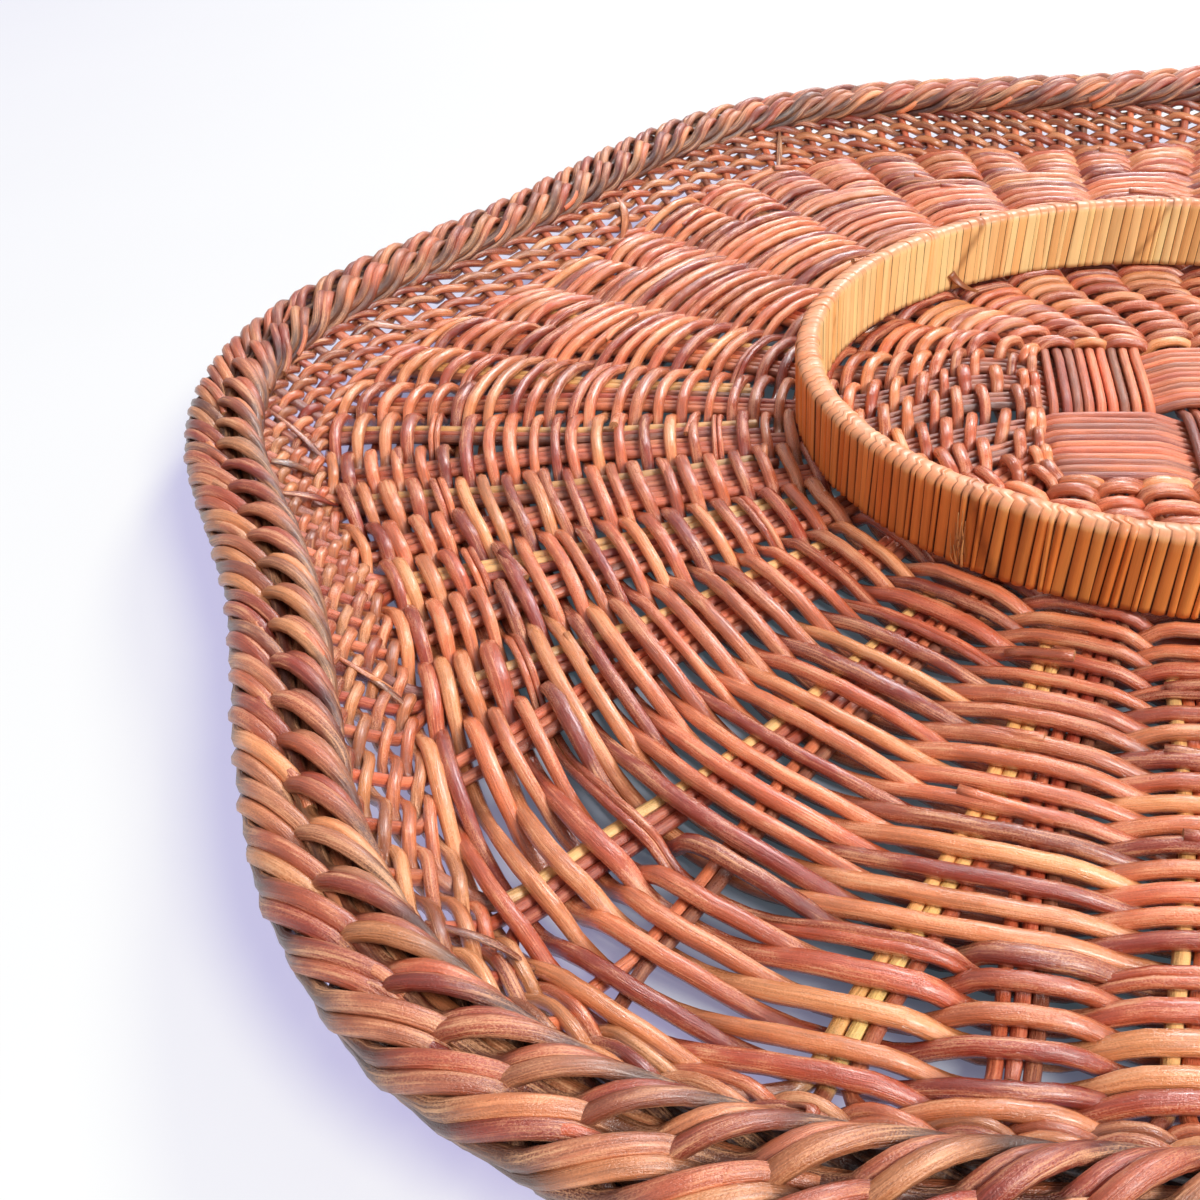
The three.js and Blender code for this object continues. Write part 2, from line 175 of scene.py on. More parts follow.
def write_skin(
    mesh: bpy.types.Mesh, places: np.ndarray, grains: np.ndarray, tints: np.ndarray
) -> None:
    """Move a mesh's corners to places in millimetres, and write their grain and colour."""
    mesh.vertices.foreach_set("co", (places * MM).ravel())
    write(mesh, "grain", "FLOAT_VECTOR", "vector", grains)
    write(mesh, "tint", "FLOAT_COLOR", "color", np.hstack([tints, np.ones((len(tints), 1))]))
    mesh.update()


# ---------------------------------------------------------------- colours


@dataclass(frozen=True)
class Palette:
    """Colours that the reeds of one sort have, and how far a reed's colour wanders."""

    colours: tuple[Colour, ...]
    wander: float = 0.35
    every: float = 22.0

    def reed(self, rng: np.random.Generator, count: int, closed: bool = False) -> np.ndarray:
        """Pick the colours along one reed.

        Args:
            rng: Seeded source of chance.
            count: Stations of the reed.
            closed: Whether the reed runs back into itself.

        Returns:
            One colour for each station.
        """
        first, second = rng.choice(len(self.colours), 2, replace=False)
        share = 0.5 + self.wander * drift(rng, count, self.every, closed)
        light = 1 + 0.12 * rng.normal() + 0.08 * drift(rng, count, self.every / 2, closed)
        first, second = (np.array(self.colours[k]) for k in (first, second))
        blend = mix(first, second, column(np.clip(share, 0, 1)))
        return np.clip(blend * column(np.clip(light, 0.55, 1.5)), 0.0, 1.0)


MAROON = srgb(162, 58, 36)
BRICK = srgb(208, 98, 60)
RUSSET = srgb(234, 126, 78)
TAN = srgb(244, 156, 96)
STRAW = srgb(250, 198, 126)
UMBER = srgb(128, 70, 48)
TAUPE = srgb(192, 120, 82)

WEAVERS = Palette((BRICK, RUSSET, MAROON, RUSSET, BRICK, MAROON, TAN))
INNER_WEAVERS = Palette((BRICK, RUSSET, MAROON, BRICK, TAN))
RODS = Palette((RUSSET, BRICK, MAROON, RUSSET, UMBER, BRICK))
PALE_RODS = Palette((STRAW, srgb(242, 176, 102)), wander=0.25)
BORDER_RODS = Palette((RUSSET, TAUPE, BRICK, MAROON, TAN, MAROON, UMBER, BRICK), every=26.0)


# ---------------------------------------------------------------- reeds


@dataclass
class Reed:
    """One reed: its middle line, the way its flat side looks, its half sizes and its colours."""

    points: np.ndarray
    up: np.ndarray
    half_width: np.ndarray
    half_height: np.ndarray
    colours: np.ndarray
    closed: bool = False
    # How dark the flanks and the lower side are: painted shade between the reeds
    flank_shade: float = 0.66

    def frame(self) -> tuple[np.ndarray, np.ndarray]:
        """Give the sideways and upwards directions at each station, square to the reed."""
        if self.closed:
            ahead = np.roll(self.points, -1, axis=0) - np.roll(self.points, 1, axis=0)
        else:
            ahead = np.gradient(self.points, axis=0)
        ahead = unit(ahead)
        up = unit(self.up - ahead * np.sum(self.up * ahead, axis=1, keepdims=True))
        return np.cross(ahead, up), up

    def along(self) -> np.ndarray:
        """Give the length of reed before each station."""
        steps = np.linalg.norm(np.diff(self.points, axis=0), axis=1)
        return np.concatenate([[0.0], np.cumsum(steps)])


@dataclass(frozen=True)
class TubeTemplate:
    """Tube made by mesh operators, with the station and the side of each of its corners."""

    mesh: bpy.types.Mesh
    station: np.ndarray
    side: np.ndarray


class TubeMaker:
    """Makes tubes of any number of stations, and keeps them for the next reed."""

    HUB = 10.0
    SIDES = 8

    def __init__(self) -> None:
        """Start with an empty store."""
        self.store: dict[tuple[int, bool], TubeTemplate] = {}

    def template(self, stations: int, closed: bool) -> TubeTemplate:
        """Give a tube with this many stations, with closed ends or run into itself."""
        key = (stations, closed)
        if key not in self.store:
            self.store[key] = self.closed_tube(stations) if closed else self.open_tube(stations)
        return self.store[key]

    def closed_tube(self, stations: int) -> TubeTemplate:
        """Spin a circle all the way round."""
        shape = bmesh.new()
        stand = Matrix.Translation((self.HUB, 0, 0)) @ Matrix.Rotation(math.pi / 2, 4, "X")
        bmesh.ops.create_circle(shape, segments=self.SIDES, radius=1.0, matrix=stand)
        bmesh.ops.spin(
            shape, geom=shape.edges[:], cent=(0, 0, 0), axis=(0, 0, 1), angle=TURN,
            steps=stations, use_merge=True,
        )
        x, y, z = self.corners(shape)
        side = np.arctan2(z, np.hypot(x, y) - self.HUB)
        return self.keep(shape, np.arctan2(y, x) / TURN * stations, side, stations)

    def open_tube(self, stations: int) -> TubeTemplate:
        """Draw a circle out into a straight tube and close both ends."""
        shape = bmesh.new()
        bmesh.ops.create_circle(shape, segments=self.SIDES, radius=1.0)
        bmesh.ops.spin(
            shape, geom=shape.edges[:], cent=(0, 0, 0), axis=(0, 0, 1), dvec=(0, 0, 1),
            angle=0.0, steps=stations - 1,
        )
        rims = [edge for edge in shape.edges if edge.is_boundary]
        for face in bmesh.ops.holes_fill(shape, edges=rims)["faces"]:
            face.material_index = 1
        x, y, z = self.corners(shape)
        return self.keep(shape, z, -np.arctan2(y, x), stations)

    @staticmethod
    def corners(shape: bmesh.types.BMesh) -> np.ndarray:
        """List the x, y and z of a shape's corners."""
        return np.array([vertex.co[:] for vertex in shape.verts]).T

    @staticmethod
    def keep(
        shape: bmesh.types.BMesh, station: np.ndarray, side: np.ndarray, stations: int
    ) -> TubeTemplate:
        """Face the shape outwards, write it to a mesh and note where its corners belong."""
        bmesh.ops.recalc_face_normals(shape, faces=shape.faces[:])
        for face in shape.faces:
            face.smooth = face.material_index == 0
        return TubeTemplate(finished(shape, "tube"), np.round(station).astype(int) % stations, side)


TUBES = TubeMaker()


class ReedPiece:
    """Piece of the tray that is made of reeds."""

    # Below 1 the reeds are flatter on all four sides than an ellipse
    SQUARE = 0.84
    # How far a reed's grain may be moved to keep it apart from the others'
    GRAIN_REACH = 400.0

    def __init__(self, name: str, seed: int, reeds: list[Reed]) -> None:
        """Start a piece.

        Args:
            name: Name of the finished object.
            seed: Seed of the offsets that keep the grain of two reeds apart.
            reeds: Its reeds.
        """
        self.name = name
        self.rng = np.random.default_rng(seed)
        self.reeds = reeds

    def build(self, materials: list[bpy.types.Material]) -> bpy.types.Object:
        """Make the object.

        Args:
            materials: Finish of the reeds' skin and of their cut ends.

        Returns:
            The object, in metres, with a colour and a grain direction at every corner.
        """
        shape = bmesh.new()
        places, grains, colours = [], [], []
        for reed in self.reeds:
            template = TUBES.template(len(reed.points), reed.closed)
            shape.from_mesh(template.mesh)
            place, grain = self.lay(reed, template)
            places.append(place)
            grains.append(grain)
            # Darken the flanks and the lower side: painted shade between the reeds
            side_light = mix(reed.flank_shade, 1.0, smooth((np.sin(template.side) + 0.75) / 1.25))
            colours.append(reed.colours[template.station] * column(side_light))
        mesh = finished(shape, self.name)
        for material in materials:
            mesh.materials.append(material)
        write_skin(mesh, *(np.concatenate(parts) for parts in (places, grains, colours)))
        return placed(self.name, mesh)

    def lay(self, reed: Reed, template: TubeTemplate) -> tuple[np.ndarray, np.ndarray]:
        """Bend the template along a reed.

        Args:
            reed: The reed.
            template: The straight or round tube of as many stations.

        Returns:
            The corners' places, and their places on the grain: round the reed and along it.
        """
        side, up = reed.frame()
        at = template.station
        rings = np.cos(template.side), np.sin(template.side)
        across, rise = (np.sign(ring) * np.abs(ring) ** self.SQUARE for ring in rings)
        across, rise = across * reed.half_width[at], rise * reed.half_height[at]
        place = reed.points[at] + side[at] * column(across) + up[at] * column(rise)
        thick = float(np.mean(reed.half_width))
        offset = self.rng.uniform(-self.GRAIN_REACH, self.GRAIN_REACH, 3)
        grain = np.stack([rings[0] * thick, rings[1] * thick, reed.along()[at]], axis=1)
        return place, grain + offset


# ---------------------------------------------------------------- shading


def operator(operation: str, is_swapped: bool = False) -> Callable[["Wire", object], "Wire"]:
    """Make one of Wire's operators, which adds one Math node."""

    def add_node(wire: "Wire", other: object) -> "Wire":
        """Add the node."""
        return wire.math(operation, *((other, wire) if is_swapped else (wire, other)))

    return add_node


class Wire:
    """Output of a shader node. Python's operators add the Math nodes."""

    def __init__(self, shader: "Shader", socket: bpy.types.NodeSocket) -> None:
        """Wrap a socket of a shader's node."""
        self.shader = shader
        self.socket = socket

    def math(self, operation: str, *values: object, clamp: bool = False) -> "Wire":
        """Add one Math node on values or wires."""
        settings = {"operation": operation, "use_clamp": clamp}
        return self.shader.node("ShaderNodeMath", settings, dict(enumerate(values)))

    __add__, __radd__ = operator("ADD"), operator("ADD", is_swapped=True)
    __sub__, __rsub__ = operator("SUBTRACT"), operator("SUBTRACT", is_swapped=True)
    __mul__, __rmul__ = operator("MULTIPLY"), operator("MULTIPLY", is_swapped=True)

    def clamped(self) -> "Wire":
        """Keep between 0 and 1."""
        return self.math("ADD", self, 0.0, clamp=True)

    def between(self, low: float, high: float) -> "Wire":
        """Give 0 at or below low, 1 at or above high, and ease from one to the other."""
        settings = {"interpolation_type": "SMOOTHSTEP"}
        inputs = {"Value": self, "From Min": low, "From Max": high}
        return self.shader.node("ShaderNodeMapRange", settings, inputs)


class Shader:
    """Node tree of one material."""

    def __init__(self, name: str) -> None:
        """Start a material with one Principled shader."""
        self.material = bpy.data.materials.new(name)
        self.material.use_nodes = True
        self.tree = self.material.node_tree
        self.tree.nodes.clear()
        output = self.tree.nodes.new("ShaderNodeOutputMaterial")
        self.surface = self.tree.nodes.new("ShaderNodeBsdfPrincipled")
        self.tree.links.new(self.surface.outputs[0], output.inputs["Surface"])

    def node(
        self, kind: str, settings: dict[str, object], inputs: Inputs, output: str | int = 0
    ) -> Wire:
        """Add a node.

        Args:
            kind: Type of the node.
            settings: Its settings, which are set first.
            inputs: Values or wires for its sockets, by name or number.
            output: The output that is wanted.

        Returns:
            That output.
        """
        node = self.tree.nodes.new(kind)
        for name, value in settings.items():
            setattr(node, name, value)
        self.fill(node, inputs)
        return Wire(self, node.outputs[output])

    def fill(self, node: bpy.types.Node, inputs: Inputs) -> None:
        """Set or link the sockets of a node."""
        for name, value in inputs.items():
            if isinstance(value, Wire):
                self.tree.links.new(value.socket, node.inputs[name])
            else:
                node.inputs[name].default_value = value

    def attribute(self, name: str, output: str) -> Wire:
        """Read an attribute of the piece."""
        return self.node("ShaderNodeAttribute", {"attribute_name": name}, {}, output)

    def place(self) -> Wire:
        """Give the place on the object, in metres."""
        return self.node("ShaderNodeTexCoord", {}, {}, "Object")

    def scaled(self, vector: Wire, factors: Colour) -> Wire:
        """Scale a vector, each way by its own factor."""
        return self.vector("MULTIPLY", vector, factors)

    def vector(self, operation: str, first: Wire, second: object, output: str | int = 0) -> Wire:
        """Add one Vector Math node."""
        inputs = {0: first, 1: second}
        return self.node("ShaderNodeVectorMath", {"operation": operation}, inputs, output)

    def length(self, vector: Wire) -> Wire:
        """Measure a vector."""
        return self.vector("LENGTH", vector, (0.0, 0.0, 0.0), "Value")

    def noise(self, vector: Wire, detail: float = 2.0, roughness: float = 0.5) -> Wire:
        """Read noise of size one at a place."""
        settings = {"noise_dimensions": "3D"}
        inputs = {"Vector": vector, "Scale": 1.0, "Detail": detail, "Roughness": roughness}
        return self.node("ShaderNodeTexNoise", settings, inputs, "Fac")

    def blend(self, share: object, first: object, second: object) -> Wire:
        """Mix two colours."""
        settings = {"data_type": "RGBA", "clamp_factor": True}
        first, second = (v if isinstance(v, Wire) else (*v, 1.0) for v in (first, second))
        return self.node("ShaderNodeMix", settings, {0: share, 6: first, 7: second}, 2)

    def lit(self, colour: Wire, factor: Wire) -> Wire:
        """Make a colour lighter or darker by a factor."""
        grey = self.node("ShaderNodeCombineXYZ", {}, dict.fromkeys(range(3), factor))
        return self.vector("MULTIPLY", colour, grey)

    def relief(self, height: Wire, depth: float) -> Wire:
        """Turn a height between 0 and 1 into a bump that is so many millimetres deep."""
        return self.node("ShaderNodeBump", {}, {"Distance": depth * MM, "Height": height})

    def done(self, inputs: Inputs) -> bpy.types.Material:
        """Set the sockets of the Principled shader and give the material."""
        self.fill(self.surface, inputs)
        return self.material


@dataclass(frozen=True)
class ReedFinish:
    """Skin of round reed: grain lines along it, worn patches, and a gloss that is rubbed off."""

    name: str
    streaks: float = 1.0
    gloss: float = 0.5
    inner_gloss: float = 0.5
    coat: float = 0.5
    coat_roughness: float = 0.21
    worn: Colour = srgb(246, 186, 138)
    worn_share: float = 0.85
    relief: float = 0.33

    def material(self) -> bpy.types.Material:
        """Build the material."""
        shader = Shader(self.name)
        grain = shader.attribute("grain", "Vector")
        tint = shader.attribute("tint", "Color")
        lines = shader.noise(shader.scaled(grain, (2.8, 2.8, 0.05)), 3.0, 0.65)
        fibres = shader.noise(shader.scaled(grain, (6.5, 6.5, 0.3)), 2.0)
        patches = shader.noise(shader.scaled(grain, (0.4, 0.4, 0.09)), 3.0, 0.6)
        specks = shader.noise(shader.scaled(grain, (5.5, 5.5, 3.5)), 2.0, 0.6)
        fade = 1 - self.streaks + 2 * self.streaks * (0.5 * lines + 0.25 * fibres + 0.25 * specks)
        colour = shader.lit(tint, fade * (0.4 + 1.24 * patches))
        scuffs = lines.between(0.46, 0.62) * 0.75 + specks.between(0.42, 0.6) * 0.45
        worn = patches.between(0.4, 0.66) * scuffs.clamped() * self.worn_share
        colour = shader.blend(worn, colour, self.worn)
        radius = shader.length(shader.scaled(shader.place(), (1.0, 1.0, 0.0)))
        gloss = mix(self.inner_gloss, self.gloss, radius.between(0.085, 0.15))
        shine = (gloss * (1.3 - patches.between(0.4, 0.68))).clamped()
        rough = 0.4 + 0.26 * specks - 0.38 * shine
        height = 0.55 * lines + 0.3 * fibres + 0.35 * specks
        return shader.done(
            {
                "Base Color": colour,
                "Roughness": rough.clamped(),
                "Coat Weight": self.coat * shine,
                "Coat Roughness": self.coat_roughness,
                "IOR": 1.88,
                "Normal": shader.relief(height, self.relief),
            }
        )


@dataclass(frozen=True)
class CutEndFinish:
    """Cut end of a reed: pale pith with dark pores."""

    name: str
    pith: Colour = srgb(196, 138, 92)
    pores: Colour = srgb(96, 56, 38)

    def material(self) -> bpy.types.Material:
        """Build the material."""
        shader = Shader(self.name)
        dots = shader.noise(shader.scaled(shader.place(), (3500.0, 3500.0, 3500.0)), 2.0)
        colour = shader.blend(dots.between(0.45, 0.7), self.pith, self.pores)
        return shader.done(
            {"Base Color": colour, "Roughness": 0.75, "Normal": shader.relief(dots, 0.12)}
        )


@dataclass(frozen=True)
class CaneFinish:
    """Split cane: smooth tan skin with fine lines, dark gaps between the turns."""

    name: str
    gap: Colour = srgb(48, 18, 10)
    relief: float = 0.05

    def material(self) -> bpy.types.Material:
        """Build the material."""
        shader = Shader(self.name)
        grain = shader.attribute("grain", "Vector")
        tint = shader.attribute("tint", "Color")
        gap = shader.attribute("gap", "Fac")
        lines = shader.noise(shader.scaled(grain, (3.2, 1.0, 0.045)), 3.0, 0.62)
        fibres = shader.noise(shader.scaled(grain, (11.0, 1.0, 0.12)), 2.0)
        patches = shader.noise(shader.scaled(grain, (0.5, 1.0, 0.12)), 2.0)
        fade = 0.74 + 0.34 * lines + 0.18 * fibres
        colour = shader.lit(tint, fade * (0.84 + 0.32 * patches))
        colour = shader.blend(gap.between(0.25, 0.9), colour, self.gap)
        height = 0.6 * lines + 0.4 * fibres
        return shader.done(
            {
                "Base Color": colour,
                "Roughness": (0.36 + 0.25 * patches + 0.3 * gap).clamped(),
                "Coat Weight": (0.22 * (1 - gap)).clamped(),
                "Coat Roughness": 0.22,
                "IOR": 1.48,
                "Normal": shader.relief(height, self.relief),
            }
        )


@dataclass(frozen=True)
class WoodFinish:
    """Plain bent wood of the hoop inside the cane."""

    name: str
    pale: Colour = srgb(196, 150, 96)
    dark: Colour = srgb(140, 92, 52)

    def material(self) -> bpy.types.Material:
        """Build the material."""
        shader = Shader(self.name)
        lines = shader.noise(shader.scaled(shader.place(), (120.0, 120.0, 1600.0)), 3.0)
        colour = shader.blend(lines, self.pale, self.dark)
        return shader.done(
            {"Base Color": colour, "Roughness": 0.6, "Normal": shader.relief(lines, 0.1)}
        )


# ---------------------------------------------------------------- plan of the tray


@dataclass(frozen=True)
class Spoke:
    """One spoke of the base: where it leaves the cross and the angle it ends at."""

    number: int
    quarter: int
    across: float
    group_angle: float
    rods: int
    exit_along: float

    @property
    def exit_radius(self) -> float:
        """Radius at which the spoke leaves the cross."""
        return math.hypot(self.exit_along, self.across)

    def angle(self, radius: Values) -> np.ndarray:
        """Give the spoke's angle at a radius: it fans out and turns with the weaving."""
        share = smooth((radius - self.exit_radius) / (Plan.TWIST_END - self.exit_radius))
        start = math.atan2(self.across, self.exit_along)
        return self.quarter * math.pi / 2 + mix(start, self.group_angle + Plan.TWIST, share)


class Plan:
    """Where things are on the plan of the tray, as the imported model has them."""

    TWIST = math.radians(12)
    TWIST_END = 66.0
    ROD_RADIUS = 1.05
    ROD_LEVEL = 3.7
    FOOT = 175.0
    SCALLOP = 9.3
    LOBES = 6
    RING = 74.0
    BAND_START = 38.5
    # How far the rounds round the cross bulge at its corners
    BULGE = 5.0
    # Rounds between these levels go over from the cross's outline to their own
    CLOSE_LEVEL = 29.5
    FREE_LEVEL = 42.0
    BESIDE_CROSS = 2.6
    BORDER_OUT = 18.5
    BORDER_LEVEL = 19.7
    # The wall starts to bend up this far inside its foot
    SET_IN = 4.0
    BEND = 10.0
    SLOPE = math.radians(40.36)
    WALL_END = 26.0
    # The floor's part of a rod ends this far inside the foot
    FLOOR_STOP = 10.0
    # Radius at which the stakes of a spoke lie side by side
    BUNDLED_AT = 167.0
    # Radius by which the base rods have made room for the side stakes, and how long they take
    SIDE_END = 78.0
    SIDE_REACH = 12.0
    SIDE_SHIFT = 3.3
    # Radii between which a spoke splits in two, and where the weaving follows
    SPLIT_START = 112.0
    SPLIT_END = 172.0
    SPLIT_LEVEL = 148.0
    CROSS_PITCH = 2.4
    CROSS_GAP = 4.0
    RUNOUT = 3.0
    STAKES = 5
    # Degrees from the middle of a quarter at which groups of three and of two rods end
    GROUP_ENDS = (5.2, 16.3, 29.1)
    CORNER_END = 45.0

    def __init__(self) -> None:
        """List the spokes in order of angle."""
        self.groups_x = self.groups(True)
        self.groups_y = self.groups(False)
        spokes = []
        for quarter in range(4):
            ways = (self.groups_x, self.groups_y)
            along = self.half_extent(ways[1 - quarter % 2]) + self.RUNOUT
            spokes += [Spoke(0, quarter, *group, along) for group in ways[quarter % 2]]
        spokes.sort(key=lambda spoke: (spoke.quarter * math.pi / 2 + spoke.group_angle) % TURN)
        self.spokes = [replace(spoke, number=k) for k, spoke in enumerate(spokes)]
        far = np.array([float(spoke.angle(self.FOOT)) for spoke in self.spokes]) % TURN
        self.far_angles = np.unwrap(far)

    def groups(self, corners: bool) -> list[Group]:
        """List the groups of rods of one way: place across the cross, end angle and rods."""
        found = []
        for half in (-1, 1):
            for k, degrees in enumerate(self.GROUP_ENDS):
                across = half * (self.CROSS_GAP / 2 + 3 * self.CROSS_PITCH * (k + 0.5))
                found.append((across, half * math.radians(degrees), 3))
            if corners:
                across = half * (self.CROSS_GAP / 2 + 9 * self.CROSS_PITCH + self.CROSS_PITCH)
                found.append((across, half * math.radians(self.CORNER_END), 2))
        return sorted(found)

    def half_extent(self, groups: list[Group]) -> float:
        """Give half the width that a set of groups takes in the cross."""
        across, _, rods = groups[-1]
        return across + rods * self.ROD_RADIUS

    def wave(self, angle: np.ndarray) -> np.ndarray:
        """Give how far foot and border stand out at an angle."""
        return self.SCALLOP * np.cos(self.LOBES * angle)

    def foot(self, angle: np.ndarray) -> np.ndarray:
        """Give the radius of the wall's foot."""
        return self.FOOT + self.wave(angle)

    def floor_end(self, spoke: Spoke) -> float:
        """Give the radius at which the floor's part of a spoke ends."""
        return self.foot(self.far_angles[spoke.number]) - self.FLOOR_STOP

    def round_radius(self, level: float, angle: np.ndarray) -> np.ndarray:
        """Give the radius of a round: square near the cross, then round, then wavy."""
        square = 1 - smooth((level - self.BAND_START) / (self.TWIST_END - self.BAND_START))
        share = np.clip((level - self.RING) / (self.FOOT - self.RING), 0, 1) ** 2
        close = np.clip((self.FREE_LEVEL - level) / (self.FREE_LEVEL - self.CLOSE_LEVEL), 0, 1)
        own = level - square * self.BULGE * np.cos(4 * angle) + share * self.wave(angle)
        return mix(own, self.beside_cross(angle), close)

    def beside_cross(self, angle: np.ndarray) -> np.ndarray:
        """Give the radius of a round that hugs the cross: nearly a rectangle."""
        long = self.half_extent(self.groups_y) + self.BESIDE_CROSS
        broad = self.half_extent(self.groups_x) + self.BESIDE_CROSS
        ways = np.abs(np.cos(angle)) / long, np.abs(np.sin(angle)) / broad
        return (ways[0] ** 10 + ways[1] ** 10) ** -0.1

    def crossing(self, spoke: Spoke, level: float) -> float:
        """Give the angle at which a round of weaving meets a spoke."""
        return float(spoke.angle(self.round_radius(level, spoke.angle(level))))

    def rod_shift(self, radius: Values) -> np.ndarray:
        """Give how far each half of a spoke lies from its middle: near the wall it splits."""
        room = smooth((radius - self.SIDE_END) / self.SIDE_REACH + 1)
        even = TURN * radius / len(self.spokes) / 4
        share = smooth((radius - self.SPLIT_START) / (self.SPLIT_END - self.SPLIT_START))
        return mix(self.SIDE_SHIFT * room, even, share)

    def beside(self, spoke: Spoke, radius: np.ndarray, shift: np.ndarray) -> np.ndarray:
        """Give a line at the rods' level, shifted to the left of the middle of a spoke."""
        line = polar(radius, spoke.angle(radius), self.ROD_LEVEL)
        ahead = unit(np.gradient(line, axis=0))
        side = np.stack([-ahead[:, 1], ahead[:, 0], np.zeros(len(line))], axis=1)
        return line + side * column(shift)

    def wall(self, distance: np.ndarray) -> tuple[np.ndarray, np.ndarray, np.ndarray]:
        """Give how far out, how high and how steep the wall is, so far along it."""
        bend = self.BEND * self.SLOPE
        slope = np.clip(distance / bend, 0, 1) * self.SLOPE
        straight = np.maximum(0.0, distance - bend)
        out = self.BEND * np.sin(slope) - self.SET_IN + straight * np.cos(slope)
        rise = self.BEND * (1 - np.cos(slope)) + straight * np.sin(slope)
        return out + np.minimum(distance, 0), rise, slope

    def on_wall(
        self, distance: np.ndarray, angle: np.ndarray, lift: Values = 0.0
    ) -> tuple[np.ndarray, np.ndarray]:
        """Give points on the wall.

        Args:
            distance: How far along the wall they are.
            angle: Their angles.
            lift: How far they lie inwards of the middle of the stakes.

        Returns:
            The points, and the way the wall looks there.
        """
        out, rise, slope = self.wall(distance)
        radius = self.foot(angle) + out - np.sin(slope) * lift
        height = self.ROD_LEVEL + rise + np.cos(slope) * lift
        return polar(radius, angle, height), polar(-np.sin(slope), angle, np.cos(slope))

    def stake_angle(self, spoke: int, stake: int, share: Values) -> np.ndarray:
        """Give the angle of a wall stake: it leaves its spoke and spreads out up the wall.

        Args:
            spoke: Number of the spoke.
            stake: Which of its stakes, 0 to 4.
            share: 0 where it leaves the floor, 1 at the border.

        Returns:
            The angles.
        """
        here = self.far_angles[spoke]
        after = (self.far_angles[(spoke + 1) % len(self.spokes)] - here) % TURN
        before = (here - self.far_angles[spoke - 1]) % TURN
        place = (stake - 2) / self.STAKES
        spread = place * (after if place > 0 else before)
        side, rod = (-1, stake - 1) if stake < 3 else (1, 2 * stake - 7)
        shift = side * self.rod_shift(self.BUNDLED_AT) + rod * 2 * self.ROD_RADIUS
        return here + mix(shift / self.BUNDLED_AT, spread, smooth(2.9 * share))

    def stake(self, spoke: int, stake: int) -> np.ndarray:
        """Lay the part of a rod that stands in the wall."""
        distance = np.linspace(0.5, self.WALL_END, 14)
        return self.on_wall(distance, self.stake_angle(spoke, stake, distance / self.WALL_END))[0]


# ---------------------------------------------------------------- pieces


class Layer(Enum):
    """Whether a round passes over or under a spoke."""

    OVER = 1.0
    UNDER = -1.0


def dress(piece: bpy.types.Object, node: str) -> None:
    """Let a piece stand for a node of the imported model, and report it."""
    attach(piece, "root")
    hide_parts(node)
    LOG.info("%s: %d faces", piece.name, len(piece.data.polygons))


@dataclass
class ReedPart:
    """Sub-assembly of reeds: the plan it follows, and the finishes of skin and cut ends."""

    plan: Plan
    skins: list[bpy.types.Material]

    def dress(self, node: str, ending: str, seed: int, reeds: list[Reed], slot: str) -> None:
        """Make a piece of reeds that stands for a node.

        Args:
            node: Name of the node. The piece has it too, with an ending.
            ending: That ending.
            seed: Seed of the piece's grain.
            reeds: Its reeds.
        """
        dress(ReedPiece(f"{node}_{ending}", seed, reeds).build(self.skins), node)


